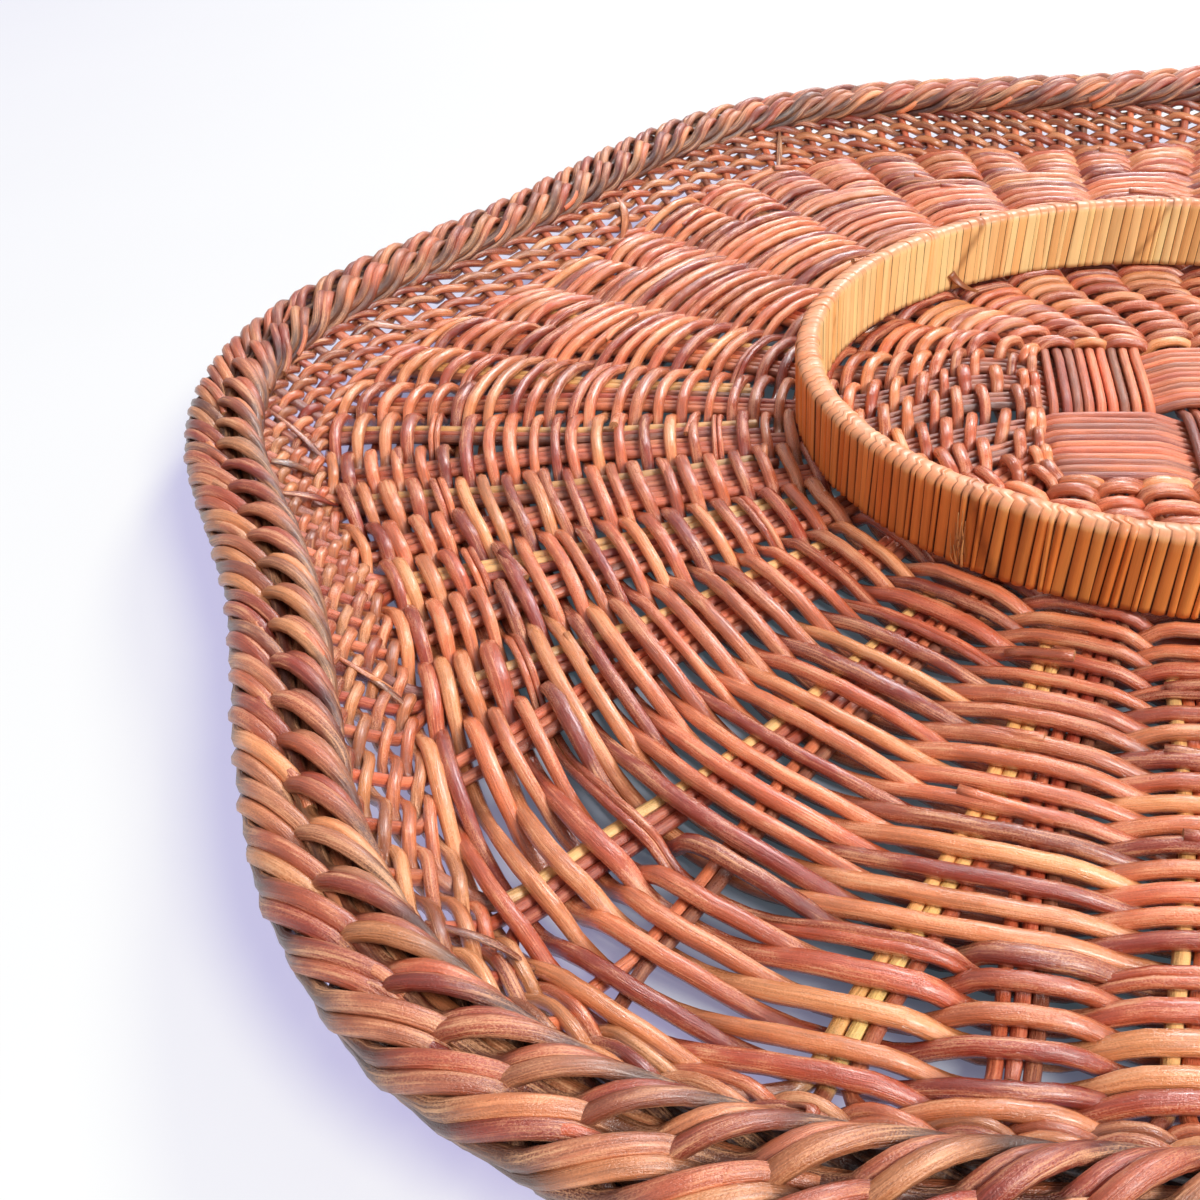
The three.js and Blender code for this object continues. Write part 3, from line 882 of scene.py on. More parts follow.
@dataclass
class Weaving(ReedPart):
    """Floor: rounds of reed that pass over one spoke and under the next."""

    arch: float = 0.35
    # Half the width of the reed over a spoke at these mean radii, and the share of it that is
    # left between two spokes: near the wall the humps are broad in the middle, like leaves
    thickness: tuple[tuple[float, float, float], ...] = (
        (30, 1.2, 0.95), (40, 1.34, 1.0), (68, 1.34, 1.0), (80, 1.28, 0.98), (138, 1.3, 0.95),
        (150, 1.42, 0.88), (160, 1.54, 0.82), (168, 1.54, 0.8), (171, 1.42, 0.85),
        (180, 1.35, 0.88),
    )
    first_rounds: tuple[float, ...] = (29.6, 31.9, 34.2, 36.7)
    foot_rounds: tuple[float, ...] = (169.9, 172.0, 174.4)
    # Rounds between these levels lie under the ring and have no arch
    ring_seat: tuple[float, float] = (69.0, 80.0)
    # Levels from which rounds follow the foot of the wall, and from which reeds are joined in
    wall_from: float = 171.0
    joins_from: float = 84.0
    # Share of the rounds outside the ring that are two thin reeds side by side
    doubles: float = 0.22
    # Half the length that a round lies flat over a spoke with no side stakes, or half a spoke
    flat: float = 3.6
    # How dark a round is where it dips under a spoke: painted shade
    dip_shade: float = 0.68
    band_gap: float = 0.3
    bands: tuple[tuple[str, float, float, int], ...] = (
        ("inner_weave_1", 38.5, 53.45, 7),
        ("inner_weave_2", 53.75, 68.7, 7),
        ("ring_seat_weave_1", 69.0, 79.0, 4),
        ("outer_weave_1", 79.3, 96.98, 7),
        ("outer_weave_2", 97.28, 114.96, 7),
        ("outer_weave_3", 115.26, 132.94, 8),
        ("outer_weave_4", 133.24, 150.92, 8),
        ("outer_weave_5", 151.22, 168.9, 7),
    )

    def build(self) -> None:
        """Build the bands of the floor."""
        rng = np.random.default_rng(11)
        number = 0
        for band, (name, start, end, rounds) in enumerate(self.bands, 1):
            pitch = (end - start + self.band_gap) / rounds
            levels = [start + pitch * (k + 0.5) - self.band_gap / 2 for k in range(rounds)]
            if band == 1:
                levels = [*self.first_rounds, *levels]
            if band == len(self.bands):
                levels += self.foot_rounds
            reeds = []
            for k, level in enumerate(levels):
                laid = self.round(level, number + k, rng)
                reeds += laid
                if level > self.joins_from:
                    reeds += [self.join(laid[0], rng) for _ in range(rng.integers(1, 4))]
            self.dress(name, "rounds", number, reeds, "weavers")
            number += len(levels)

    def meets(self, level: float) -> np.ndarray:
        """List the angles at which a round meets the spokes, and the first once more."""
        plan = self.plan
        meets = [plan.crossing(spoke, level) for spoke in plan.spokes]
        if level > plan.SPLIT_LEVEL:
            aside = float(plan.rod_shift(level)) / level
            meets = [meet + half * aside for meet in meets for half in (-1, 1)]
        meets = np.unwrap(meets)
        return np.append(meets, meets[0] + TURN)

    def round(self, level: float, number: int, rng: np.random.Generator) -> list[Reed]:
        """Lay one round of weaving.

        Args:
            level: Mean radius of the round.
            number: Count of the round from the cross; it settles which spokes it passes over.
            rng: Seeded source of chance.

        Returns:
            One thick reed or two thin ones side by side, closed into rings.
        """
        plan = self.plan
        inside, outside = self.ring_seat
        share = np.arange(12) / 12
        if level < outside or level > plan.SPLIT_LEVEL:
            share = np.arange(8) / 8
        meets = self.meets(level)
        is_over = (np.arange(len(meets) - 1) + number) % 2 == 0
        ways = np.where(is_over, Layer.OVER.value, Layer.UNDER.value)
        radii, halves, pinches = zip(*self.thickness)
        thick = float(np.interp(level, radii, halves)) * rng.uniform(0.9, 1.1)
        pinch = float(np.interp(level, radii, pinches))
        tall = min(thick, 1.4) * 0.95
        angle = np.concatenate([mix(a, b, share) for a, b in zip(meets[:-1], meets[1:])])
        swing, arch = self.swing(meets, ways, level, share)
        inward = self.jitter(rng, ways, share, 0.25 if level < 100 else 0.45)
        height = self.jitter(rng, ways, share, 0.22)
        humps = 0 if inside < level < outside else 1
        lift = swing * (plan.ROD_RADIUS + tall) + humps * self.arch * arch + height * (swing > 0)
        lift = np.maximum(lift, tall + 0.03 - plan.ROD_LEVEL)
        radius, rise, slope = self.ground(level, angle)
        up = polar(-np.sin(slope), angle, np.cos(slope))
        uneven = np.clip(1 + self.jitter(rng, ways, share, 0.1), 0.8, 1.15)
        width = thick * mix(pinch, 1.0, np.abs(swing)) * uneven
        # Darker where the round dips under a spoke: painted shade
        dark = mix(self.dip_shade, 1.0, smooth((swing + 0.75) / 1.3))
        palette = INNER_WEAVERS if level < inside else WEAVERS
        is_double = level > outside and rng.random() < self.doubles
        reeds = []
        for side in (-0.5, 0.5) if is_double else (0.0,):
            aside = inward + side * width * 1.05
            points = polar(
                radius + aside * np.cos(slope) - np.sin(slope) * lift,
                angle,
                plan.ROD_LEVEL + rise + np.cos(slope) * lift + aside * np.sin(slope),
            )
            colours = palette.reed(rng, len(angle), True) * column(dark)
            half = width * (0.52 if is_double else 1.0)
            half_height = np.full(len(angle), min(tall, 0.62 * thick) if is_double else tall)
            reeds.append(Reed(points, up, half, half_height, colours, closed=True))
        return reeds

    def join(self, reed: Reed, rng: np.random.Generator) -> Reed:
        """Lay the end of a reed that was joined in.

        Args:
            reed: The round that it was joined to.
            rng: Seeded source of chance.

        Returns:
            A short reed on top of the round, with cut ends.
        """
        height = reed.points[:, 2]
        is_crest = (height > np.roll(height, 1)) & (height >= np.roll(height, -1))
        middle, reach = int(rng.choice(np.flatnonzero(is_crest))), int(rng.integers(3, 6))
        index = np.arange(middle - reach, middle + int(rng.integers(1, 4))) % len(height)
        count = len(index)
        lift = np.linspace(-0.5, 1.0, count) * rng.choice((-1, 1)) * 0.7 + 0.75
        points = reed.points[index] + reed.up[index] * column(lift)
        aside = rng.uniform(-0.8, 0.8) + np.linspace(-0.5, 0.5, count) * rng.normal()
        points = points + unit(points * (1.0, 1.0, 0.0)) * column(aside)
        size = np.full(count, rng.uniform(0.7, 1.05))
        return Reed(points, reed.up[index], size, size * 0.8, WEAVERS.reed(rng, count))

    def ground(self, level: float, angle: np.ndarray) -> tuple[np.ndarray, ...]:
        """Give the radius, the height and the slope that a round lies at, on floor or wall."""
        flat = np.zeros(len(angle))
        if level < self.wall_from:
            return self.plan.round_radius(level, angle), flat, flat
        out, rise, slope = self.plan.wall(flat + level - self.wall_from)
        return self.plan.foot(angle) + out, rise, slope

    def swing(
        self, meets: np.ndarray, ways: np.ndarray, level: float, share: np.ndarray
    ) -> tuple[np.ndarray, np.ndarray]:
        """Give the height of a round as a share, and the extra arch over a bundle.

        Args:
            meets: Angles at which the round meets the spokes, and the first once more.
            ways: 1 where it passes over, -1 where it passes under.
            level: Mean radius of the round.
            share: Stations between two spokes.

        Returns:
            Shares between -1 and 1, and shares of the arch.
        """
        half = 1.1 + float(self.plan.rod_shift(level))
        if level > self.plan.SPLIT_LEVEL or level < self.plan.RING:
            half = self.flat
        swings, arches = [], []
        for here, there, way in zip(meets[:-1], meets[1:], ways):
            length = (there - here) * level
            s = share * length
            flat = min(half, 0.3 * length)
            swings.append(way * np.cos(math.pi * np.clip((s - flat) / (length - 2 * flat), 0, 1)))
            near, far = (
                np.cos(np.clip(gap / flat, 0, 1) * math.pi / 2) ** 2 for gap in (s, length - s)
            )
            arches.append(near * (way > 0) + far * (way < 0))
        return np.concatenate(swings), np.concatenate(arches)

    @staticmethod
    def jitter(
        rng: np.random.Generator, ways: np.ndarray, share: np.ndarray, size: float
    ) -> np.ndarray:
        """Give a small offset at each spoke and blend it from one to the next."""
        values = rng.normal(scale=size, size=len(ways))
        after = np.roll(values, -1)
        return np.concatenate([mix(a, b, smooth(share)) for a, b in zip(values, after)])


@dataclass
class BaseRods(ReedPart):
    """Rods of the base: they run through the cross and out to the wall on both sides."""

    lift: float = 1.18
    arch: float = 0.22
    floor_pitch: float = 2.14
    # Between these radii the rods are darker, by this share
    shaded: tuple[float, float] = (27.0, 74.0)
    shade: float = 0.32
    # Radii between which a rod starts to wander
    loose: tuple[float, float] = (60.0, 80.0)

    def build(self) -> None:
        """Build the through groups of both ways."""
        rng = np.random.default_rng(23)
        ways = (self.plan.groups_x, self.plan.groups_y)
        for quarter, way in enumerate("xy"):
            for k, group in enumerate(ways[quarter]):
                crossing, numbers = ways[1 - quarter], range(group[2])
                rods = [self.rod(group, crossing, quarter, number, rng) for number in numbers]
                name, seed = f"base_rods_{way}{k + 1}", 100 + 10 * quarter + k
                self.dress(name, "single", seed, rods, "rods")

    def rod(
        self, group: Group, crossing: list[Group], quarter: int, number: int,
        rng: np.random.Generator,
    ) -> Reed:
        """Lay one rod from wall to wall.

        Args:
            group: Place across the cross, end angle and rods of its group.
            crossing: Groups that run the other way.
            quarter: 0 for rods along X, 1 for rods along Y.
            number: Which rod of the group.
            rng: Seeded source of chance.

        Returns:
            The rod.
        """
        across, _, rods = group
        offset = number - (rods - 1) / 2
        front = self.half(quarter, across, offset, rng)
        back = self.half(quarter + 2, -across, -offset, rng)
        middle = self.middle(across, offset, crossing, quarter, rng)
        points = np.concatenate([back[::-1], middle, front])
        count = len(points)
        size = np.full(count, self.plan.ROD_RADIUS * rng.uniform(0.93, 1.03))
        size[[0, -1]] *= 0.8
        radius = np.hypot(points[:, 0], points[:, 1])
        start, end = self.shaded
        shade = 1 - self.shade * smooth((radius - start) / 6) * smooth((end - radius) / 6)
        colours = RODS.reed(rng, count) * column(shade)
        # The rods get painted shade on their flanks and lower side
        return Reed(points, upright(count), size, size, colours, flank_shade=0.72)

    def middle(
        self, across: float, offset: float, crossing: list[Group], quarter: int,
        rng: np.random.Generator,
    ) -> np.ndarray:
        """Lay the part of a rod that lies in the cross.

        Args:
            across: Place of its group across the cross.
            offset: Its place in the group, in rods from the middle.
            crossing: Groups that run the other way.
            quarter: 0 for rods along X, 1 for rods along Y.
            rng: Seeded source of chance.

        Returns:
            Its middle line.
        """
        plan = self.plan
        edge = plan.half_extent(crossing)
        end = edge + plan.RUNOUT - 1
        along = np.linspace(-end, end, 25)
        reach = np.abs(along)
        lift = smooth(reach / (plan.CROSS_GAP * 0.9))
        lift = lift * (1 - smooth((reach - edge + 1) / (plan.RUNOUT + 1)))
        arch = np.sin(np.clip(reach / edge, 0, 1) * math.pi)
        way = np.sign(along) * np.sign(across)
        height = plan.ROD_LEVEL + way * lift * self.lift + (way > 0) * arch * self.arch
        turn = quarter * math.pi / 2
        ahead = np.array([math.cos(turn), math.sin(turn), 0.0])
        side = np.array([-math.sin(turn), math.cos(turn), 0.0])
        stray = 0.13 * rng.normal() + 0.12 * drift(rng, len(along), 6.0)
        stray = smooth((end - reach) / 8) * stray
        place = column(along) * ahead + column(across + offset * plan.CROSS_PITCH + stray) * side
        place[:, 2] = height
        return place

    def half(
        self, quarter: int, across: float, offset: float, rng: np.random.Generator
    ) -> np.ndarray:
        """Lay the part of a rod from the cross to its end on one side.

        Args:
            quarter: Side of the cross that it leaves from.
            across: Place of its group across the cross, seen towards that side.
            offset: Its place in the group, in rods from the middle.
            rng: Seeded source of chance.

        Returns:
            Its middle line.
        """
        plan = self.plan
        spokes = (spoke for spoke in plan.spokes if spoke.quarter == quarter % 4)
        spoke = next(spoke for spoke in spokes if abs(spoke.across - across) < 1e-6)
        fan = np.linspace(spoke.exit_radius, plan.TWIST_END, 12)
        radius = np.concatenate([fan, np.linspace(70, plan.floor_end(spoke), 28)])
        pitch = mix(plan.CROSS_PITCH, self.floor_pitch, smooth((radius - spoke.exit_radius) / 12))
        start, end = self.loose
        loose = smooth((radius - start) / (end - start))
        wobble = 0.12 * drift(rng, len(radius), 6.0) * loose
        place = plan.beside(spoke, radius, plan.rod_shift(radius) + offset * pitch + wobble)
        place[:, 2] += 0.1 * drift(rng, len(radius), 5.0) * loose
        if offset == 0:
            return place
        return np.concatenate([place, plan.stake(spoke.number, 3 if offset < 0 else 4)])


@dataclass
class SideStakes(ReedPart):
    """Bundles of three rods beside each spoke, which also stand in the wall."""

    start: float = 84.0
    pitch: float = 2.14
    # How much thicker the pale rods are
    pale_size: float = 1.12

    def build(self) -> None:
        """Build the bundle of each spoke."""
        rng = np.random.default_rng(37)
        for spoke in self.plan.spokes:
            rods = [self.rod(spoke, rod, rng) for rod in range(3)]
            name = f"side_stake_{spoke.number + 1:02d}"
            self.dress(name, "rods", 300 + spoke.number, rods, "side_stakes")

    def rod(self, spoke: Spoke, number: int, rng: np.random.Generator) -> Reed:
        """Lay one rod of a bundle, from its cut end near the ring to the border.

        Args:
            spoke: The spoke beside which it lies.
            number: Which rod of the bundle, 0 to 2.
            rng: Seeded source of chance.

        Returns:
            The rod.
        """
        plan = self.plan
        start = self.start + rng.uniform(-3.0, 5.0)
        floor = np.linspace(start + 3, plan.floor_end(spoke), 26)
        radius = np.concatenate([[start, start + 0.3], floor])
        corner = plan.ROD_RADIUS if spoke.rods == 2 else 0.0
        shift = corner - plan.rod_shift(radius) + (number - 1) * self.pitch
        place = plan.beside(spoke, radius, shift + 0.1 * drift(rng, len(radius), 6.0))
        place[:, 2] += 0.12 * drift(rng, len(radius), 5.0)
        points = np.concatenate([place, plan.stake(spoke.number, number)])
        count = len(points)
        size = np.full(count, plan.ROD_RADIUS * rng.uniform(0.94, 1.03))
        size[[0, -1]] *= 0.8
        is_pale = number == 0 or (number == 1 and spoke.number % 3 == 0)
        colours = RODS.reed(rng, count)
        if is_pale:
            in_wall = smooth((np.arange(count) - len(place) + 1) / 2)
            colours = mix(PALE_RODS.reed(rng, count), colours * 0.8, column(in_wall))
            size *= self.pale_size
        # Painted shade on the flanks and lower side, faint on the pale rods
        flank_shade = 0.95 if is_pale else 0.72
        return Reed(points, upright(count), size, size, colours, flank_shade=flank_shade)


@dataclass
class Wall(ReedPart):
    """Open rows on the stakes of the wall, each of two weavers that twist round each other."""

    rows: int = 4
    first: float = 5.7
    pitch: float = 4.6
    half: float = 1.08
    twist: float = 1.15
    # How far weavers and stakes are pressed together
    press: float = 0.75
    curls: int = 3
    # Stations from one stake to the next
    steps: int = 5

    def build(self) -> None:
        """Build the rows, the lowest first."""
        rng = np.random.default_rng(41)
        for row in range(self.rows):
            reeds = [self.weaver(row, number, rng) for number in range(2)]
            reeds += [self.curl(row, rng) for _ in range(self.curls)]
            self.dress(f"wall_weaver_{row + 1}", "reeds", 400 + row, reeds, "weavers")

    def weaver(self, row: int, number: int, rng: np.random.Generator) -> Reed:
        """Lay one of the two weavers of a row in and out of the stakes.

        Args:
            row: The row, 0 for the lowest.
            number: Which weaver, 0 or 1.
            rng: Seeded source of chance.

        Returns:
            The weaver, closed into a ring.
        """
        plan = self.plan
        distance = self.first + self.pitch * row
        meets = [
            float(plan.stake_angle(spoke.number, stake, distance / plan.WALL_END))
            for spoke in plan.spokes
            for stake in range(plan.STAKES)
        ]
        meets.append(meets[0] + TURN)
        share = np.arange(self.steps) / self.steps
        angle = np.concatenate([mix(a, b, share) for a, b in zip(meets[:-1], meets[1:])])
        count = len(angle)
        phase = math.pi * (np.arange(count) / self.steps + number + row)
        swing = np.sign(np.cos(phase)) * np.abs(np.cos(phase)) ** 0.7
        lift = swing * (plan.ROD_RADIUS + self.half - self.press)
        place = distance + self.twist * np.sin(phase) + 0.3 * drift(rng, count, 14, True)
        points, up = plan.on_wall(place, angle, lift)
        size = self.half * (1 + 0.06 * drift(rng, count, 9, True))
        # Darker where the weaver passes on the outer side of the stakes: painted shade
        dark = mix(0.4, 0.8, smooth((np.cos(phase) + 0.8) / 1.3))
        colours = WEAVERS.reed(rng, count, True) * column(dark)
        return Reed(points, up, size, size * 0.9, colours, closed=True)

    def curl(self, row: int, rng: np.random.Generator) -> Reed:
        """Lay a split reed that leans from the border down to the foot.

        Args:
            row: Row of its piece; the higher, the less far down it reaches.
            rng: Seeded source of chance.

        Returns:
            The reed. Half of them are on the left, where the photograph shows them.
        """
        angle = math.radians(rng.normal(203.0, 12.0) if rng.random() < 0.5 else rng.uniform(0, 360))
        share = np.linspace(0, 1, 14)
        bend = np.sin(math.pi * share)
        distance = mix(rng.uniform(14.0, 20.0), rng.uniform(0.5, 7.0) + 1.5 * row, share)
        bow = rng.uniform(-2.5, 2.5) * bend
        aside = share * rng.uniform(3.0, 12.0) * rng.choice((-1, 1)) + bow
        lift = 0.9 + rng.uniform(1.0, 2.2) * bend
        points, up = self.plan.on_wall(distance, angle + aside / self.plan.FOOT, lift)
        size = rng.uniform(0.8, 1.35) * (0.35 + 0.65 * bend)
        colours = BORDER_RODS.reed(rng, len(share)) * (0.66, 0.6, 0.54)
        return Reed(points, up, size, np.minimum(0.36, size), colours)


@dataclass
class Border(ReedPart):
    """Rope-like border: strands of two rods that wind over its top from outside to inside."""

    strands: int = 7
    turns: int = 18
    stations: int = 36
    half_width: float = 1.26
    half_height: float = 1.16
    apart: float = 1.1
    stubs: int = 9
    # Half the thickness of the ends inside the border, and how far apart they lie
    core_half: float = 1.5
    core_pitch: float = 2.6
    # Length along the border, outwards and upwards of its middle, for one turn of a strand
    turn: tuple[tuple[float, float, float], ...] = (
        (-17.0, 4.8, -3.4), (-9.0, 6.7, -2.6), (-5.5, 7.1, -1.4), (-3.0, 6.8, 0.1),
        (-0.5, 5.9, 1.4), (2.5, 4.3, 2.1), (5.5, 2.6, 1.8), (8.0, 1.2, 0.7), (10.5, 0.5, -0.6),
        (14.0, 0.4, -0.9), (16.5, 0.1, -0.4), (18.0, -0.6, 0.9), (20.0, -1.9, 1.9),
        (22.5, -3.5, 2.1), (25.5, -5.1, 1.3), (28.0, -6.2, 0.0), (31.0, -6.7, -1.5),
        (37.0, -6.2, -2.9), (44.0, -3.6, -3.4), (49.0, 0.5, -3.5),
    )
    # The length that the turn is given for, and how far before the strand's start it begins
    length: float = 69.0
    lead: float = 12.0
    # How much higher the rod on the outer side of a strand lies than the other
    shingle: float = 0.16

    def build(self) -> None:
        """Build the three lots of strands."""
        rng = np.random.default_rng(53)
        line = self.middle_line()
        for lot in range(3):
            reeds = [self.core(lot - 1, rng)]
            for strand in range(lot, self.strands, 3):
                for side in (-1, 1):
                    rod = self.rod(line, strand, side, rng)
                    reeds += [rod, *(self.stub(rod, rng) for _ in range(self.stubs))]
            self.dress(f"border_strand_{lot + 1}", "rods", 500 + lot, reeds, "border")

    def middle(self, angle: np.ndarray, out: Values = 0.0, height: float = 0.0) -> np.ndarray:
        """Give points on the border's middle line, or so far outwards and so high."""
        return polar(self.plan.foot(angle) + self.plan.BORDER_OUT + out, angle, height)

    def middle_line(self) -> tuple[np.ndarray, np.ndarray]:
        """Measure the middle line of the border: angles, and the length before each."""
        angle = np.linspace(0, TURN, 7201)
        steps = np.linalg.norm(np.diff(self.middle(angle), axis=0), axis=1)
        return angle, np.concatenate([[0.0], np.cumsum(steps)])

    def core(self, place: int, rng: np.random.Generator) -> Reed:
        """Lay one of the stake ends that run along inside the border.

        Args:
            place: -1, 0 or 1, from inside to outside.
            rng: Seeded source of chance.

        Returns:
            The reed, closed into a ring.
        """
        count = 480
        out = self.core_pitch * place + 0.3 * drift(rng, count, 12, True)
        height = self.plan.BORDER_LEVEL - self.core_half - 0.5 * abs(place)
        points = self.middle(np.arange(count) / count * TURN, out, height)
        size = np.full(count, self.core_half)
        # Much darker than the strands: painted shade inside the border
        colours = BORDER_RODS.reed(rng, count, True) * 0.4
        return Reed(points, upright(count), size, size, colours, closed=True)

    def stub(self, rod: Reed, rng: np.random.Generator) -> Reed:
        """Lay the cut end of a stake.

        Args:
            rod: The rod of the border that it lies on.
            rng: Seeded source of chance.

        Returns:
            A short reed that comes up from between two lumps and lies along the rod.
        """
        first = self.stations * int(rng.integers(0, self.turns)) + int(rng.choice((6, 8, 17, 19)))
        index = np.arange(first, first + int(rng.integers(5, 9))) % len(rod.points)
        share = np.linspace(0, 1, len(index))
        lift = mix(-0.4, rng.uniform(0.4, 0.8), smooth(1.6 * share))
        points = rod.points[index] + rod.up[index] * column(lift)
        points[:, :2] += rng.normal(scale=0.5, size=2) * column(share)
        size = np.full(len(index), rng.uniform(0.7, 1.0))
        return Reed(points, rod.up[index], size, size, BORDER_RODS.reed(rng, len(index)))

    def rod(
        self, line: tuple[np.ndarray, np.ndarray], strand: int, side: int,
        rng: np.random.Generator,
    ) -> Reed:
        """Lay one rod of a strand all the way round.

        Args:
            line: Angles and lengths of the border's middle line.
            strand: Number of the strand.
            side: Which of its two rods, -1 or 1.
            rng: Seeded source of chance.

        Returns:
            The rod, closed into a ring.
        """
        angles, lengths = line
        total = lengths[-1]
        period = total / self.turns
        knots = np.array(self.turn) * (period / self.length, 1.0, 1.0)
        count = self.turns * self.stations
        local = np.arange(count) / count * total - self.lead
        place = strand * (period / self.strands) + local
        outwards, upwards = through(knots, period, local).T
        before, angle, after = (
            np.interp((place + step) % total, lengths, angles) for step in (-1, 0, 1)
        )
        ahead = unit(self.middle(after) - self.middle(before))
        normal = np.stack([ahead[:, 1], -ahead[:, 0], np.zeros(count)], axis=1)
        high = upright(count)
        loose = 0.22 * drift(rng, count, self.stations / 3, True)
        outwards, upwards = outwards * (1 + 0.03 * loose), upwards * (1 + 0.05 * loose)
        points = self.middle(angle, 0.0, self.plan.BORDER_LEVEL)
        points = points + normal * column(outwards) + high * column(upwards)
        away = unit(normal * column(0.6 * outwards) + high * column(upwards + 2.0))
        ones = np.ones(count)
        sideways, up = Reed(points, away, ones, ones, np.zeros((count, 3)), True).frame()
        spread = self.apart * (1 + 0.12 * drift(rng, count, self.stations / 2, True))
        rise = side * self.shingle * (upwards > 0)
        points = points + sideways * column(side * spread) + up * column(rise)
        size = 1 + 0.1 * drift(rng, count, self.stations / 2, True)
        # Darker lower down in each turn: painted shade under the lumps and in the grooves
        dark = mix(0.24, 1.0, smooth((upwards + 1.3) / 3.3))
        colours = BORDER_RODS.reed(rng, count, True) * column(dark)
        halves = self.half_width * size, self.half_height * size
        return Reed(points, up, *halves, colours, closed=True)


@dataclass
class Ring:
    """Ring on the floor: a hoop with split cane wound round it."""

    plan: Plan
    hoop: bpy.types.Object
    cane: bpy.types.Material
    wood: bpy.types.Material
    half: float = 2.6
    bore: float = 1.8
    foot: float = 7.75
    top: float = 23.4
    crown_height: float = 1.9
    turns: int = 248
    groove: float = 0.46
    lean: float = 1.2
    shades: tuple[Colour, ...] = (
        srgb(255, 205, 138), srgb(255, 217, 152), srgb(250, 193, 124), srgb(255, 209, 144),
    )
    # The outer face is darker and redder, less so near the top
    outside_tint: Colour = (0.76, 0.4, 0.19)
    # Tint of the top of the winding: a painted pinkish sheen
    crown: Colour = (0.88, 0.58, 0.66)
    # Splices of the cane are dark: their bearing and reach in degrees, and how dark they are
    marks: tuple[tuple[float, float, float], ...] = (
        (121.0, 0.7, 0.7), (86.0, 0.6, 0.6), (235.0, 0.8, 0.6), (163.0, 0.4, 0.5),
        (300.0, 0.8, 0.6), (20.0, 0.7, 0.6),
    )
    mark: Colour = (0.3, 0.2, 0.14)
    # The loose tail inside, in degrees, and the splice outside that is torn into splinters
    tail_bearings: tuple[float, float] = (127.0, 123.5)
    tail: Colour = srgb(150, 84, 44)
    splinters: int = 16
    splinter: Colour = srgb(232, 170, 104)
    torn_mark: int = 2
    # Shares of a turn's width at which its surface has stations
    steps: tuple[float, ...] = (0.0, 0.08, 0.2, 0.4, 0.62, 0.82, 0.93)
    # How dark the outer skin is right beside a gap, as a share of the gap itself
    beside_gap: float = 0.5

    def build(self) -> None:
        """Build the winding with its ends, and finish the hoop."""
        self.hoop.data.materials.clear()
        self.hoop.data.materials.append(self.wood)
        LOG.info("%s: kept from the packed model", self.hoop.name)
        dress(self.winding(), "cane_wrap")
        dress(self.ends(), "cane_wrap")

    def ends(self) -> bpy.types.Object:
        """Lay the loose tail of the cane inside the ring, and the torn fibres of a splice outside.

        Returns:
            The piece.
        """
        rng = np.random.default_rng(67)
        share = np.linspace(0, 1, 10)
        inside, outside = (self.plan.RING + side * (self.half + 0.1) for side in (-1, 1))
        bearing = np.radians(mix(*self.tail_bearings, share))
        points = polar(inside - 5.5 * share**1.5, bearing, 8.2 + 4.0 * (1 - share) ** 2)
        up = polar(share - 1.05, bearing, share + 0.05)
        size = 1.05 - 0.4 * share
        reeds = [Reed(points, up, size, 0.22 * size, np.tile(self.tail, (len(share), 1)))]
        torn = self.marks[self.torn_mark][0]
        for _ in range(self.splinters):
            bearing = np.radians(torn + rng.normal(scale=0.7) + 0.3 * share * rng.normal())
            low = rng.uniform(self.foot, self.foot + 6.0)
            height = low + share * rng.uniform(2.0, 7.5)
            radius = outside + rng.uniform(0.1, 0.8) * np.sin(2.2 * share)
            size = rng.uniform(0.14, 0.34) * (1 - 0.7 * share)
            colour = mix(np.array(self.tail), np.array(self.splinter), rng.random())
            colours = np.tile(colour, (len(share), 1))
            points, up = polar(radius, bearing, height), polar(1.0, bearing, 0.0)
            reeds.append(Reed(points, up, size, 0.5 * size, colours))
        return ReedPiece("cane_wrap_ends", 67, reeds).build([self.cane, self.wood])

    def outline(self) -> list[tuple[float, float, bool]]:
        """List the winding's section as out, height and whether it is the outer skin."""
        half, crown = self.half, self.crown_height
        skin = [(half, self.foot, True)]
        skin += [(half, z, True) for z in np.linspace(self.foot + 1.2, self.top - crown, 9)]
        skin += [
            (half * math.cos(a) ** 0.8, self.top - crown + crown * math.sin(a) ** 0.8, True)
            for a in np.linspace(0.2, math.pi / 2, 6)
        ]
        mirrored = [(-out, z, True) for out, z, _ in reversed(skin[:-1])]
        roof = self.top - 1.0
        bore = [(-1, self.foot), (-1, roof), (1, roof), (1, self.foot)]
        return skin + mirrored + [(side * self.bore, z, False) for side, z in bore]

    def winding(self) -> bpy.types.Object:
        """Spin the section into a ring and shape the turns of cane on it."""
        section = self.outline()
        stations = self.turns * len(self.steps)
        shape = bmesh.new()
        corners = [shape.verts.new((self.plan.RING + out, 0.0, z)) for out, z, _ in section]
        edges = [shape.edges.new(pair) for pair in zip(corners, corners[1:] + corners[:1])]
        bmesh.ops.spin(
            shape, geom=edges, cent=(0, 0, 0), axis=(0, 0, 1), angle=TURN, steps=stations,
            use_merge=True,
        )
        bmesh.ops.recalc_face_normals(shape, faces=shape.faces[:])
        for face in shape.faces:
            face.smooth = True
        mesh = finished(shape, "cane_wrap_turns")
        self.shape_turns(mesh, section, stations)
        mesh.materials.append(self.cane)
        return placed("cane_wrap_turns", mesh)

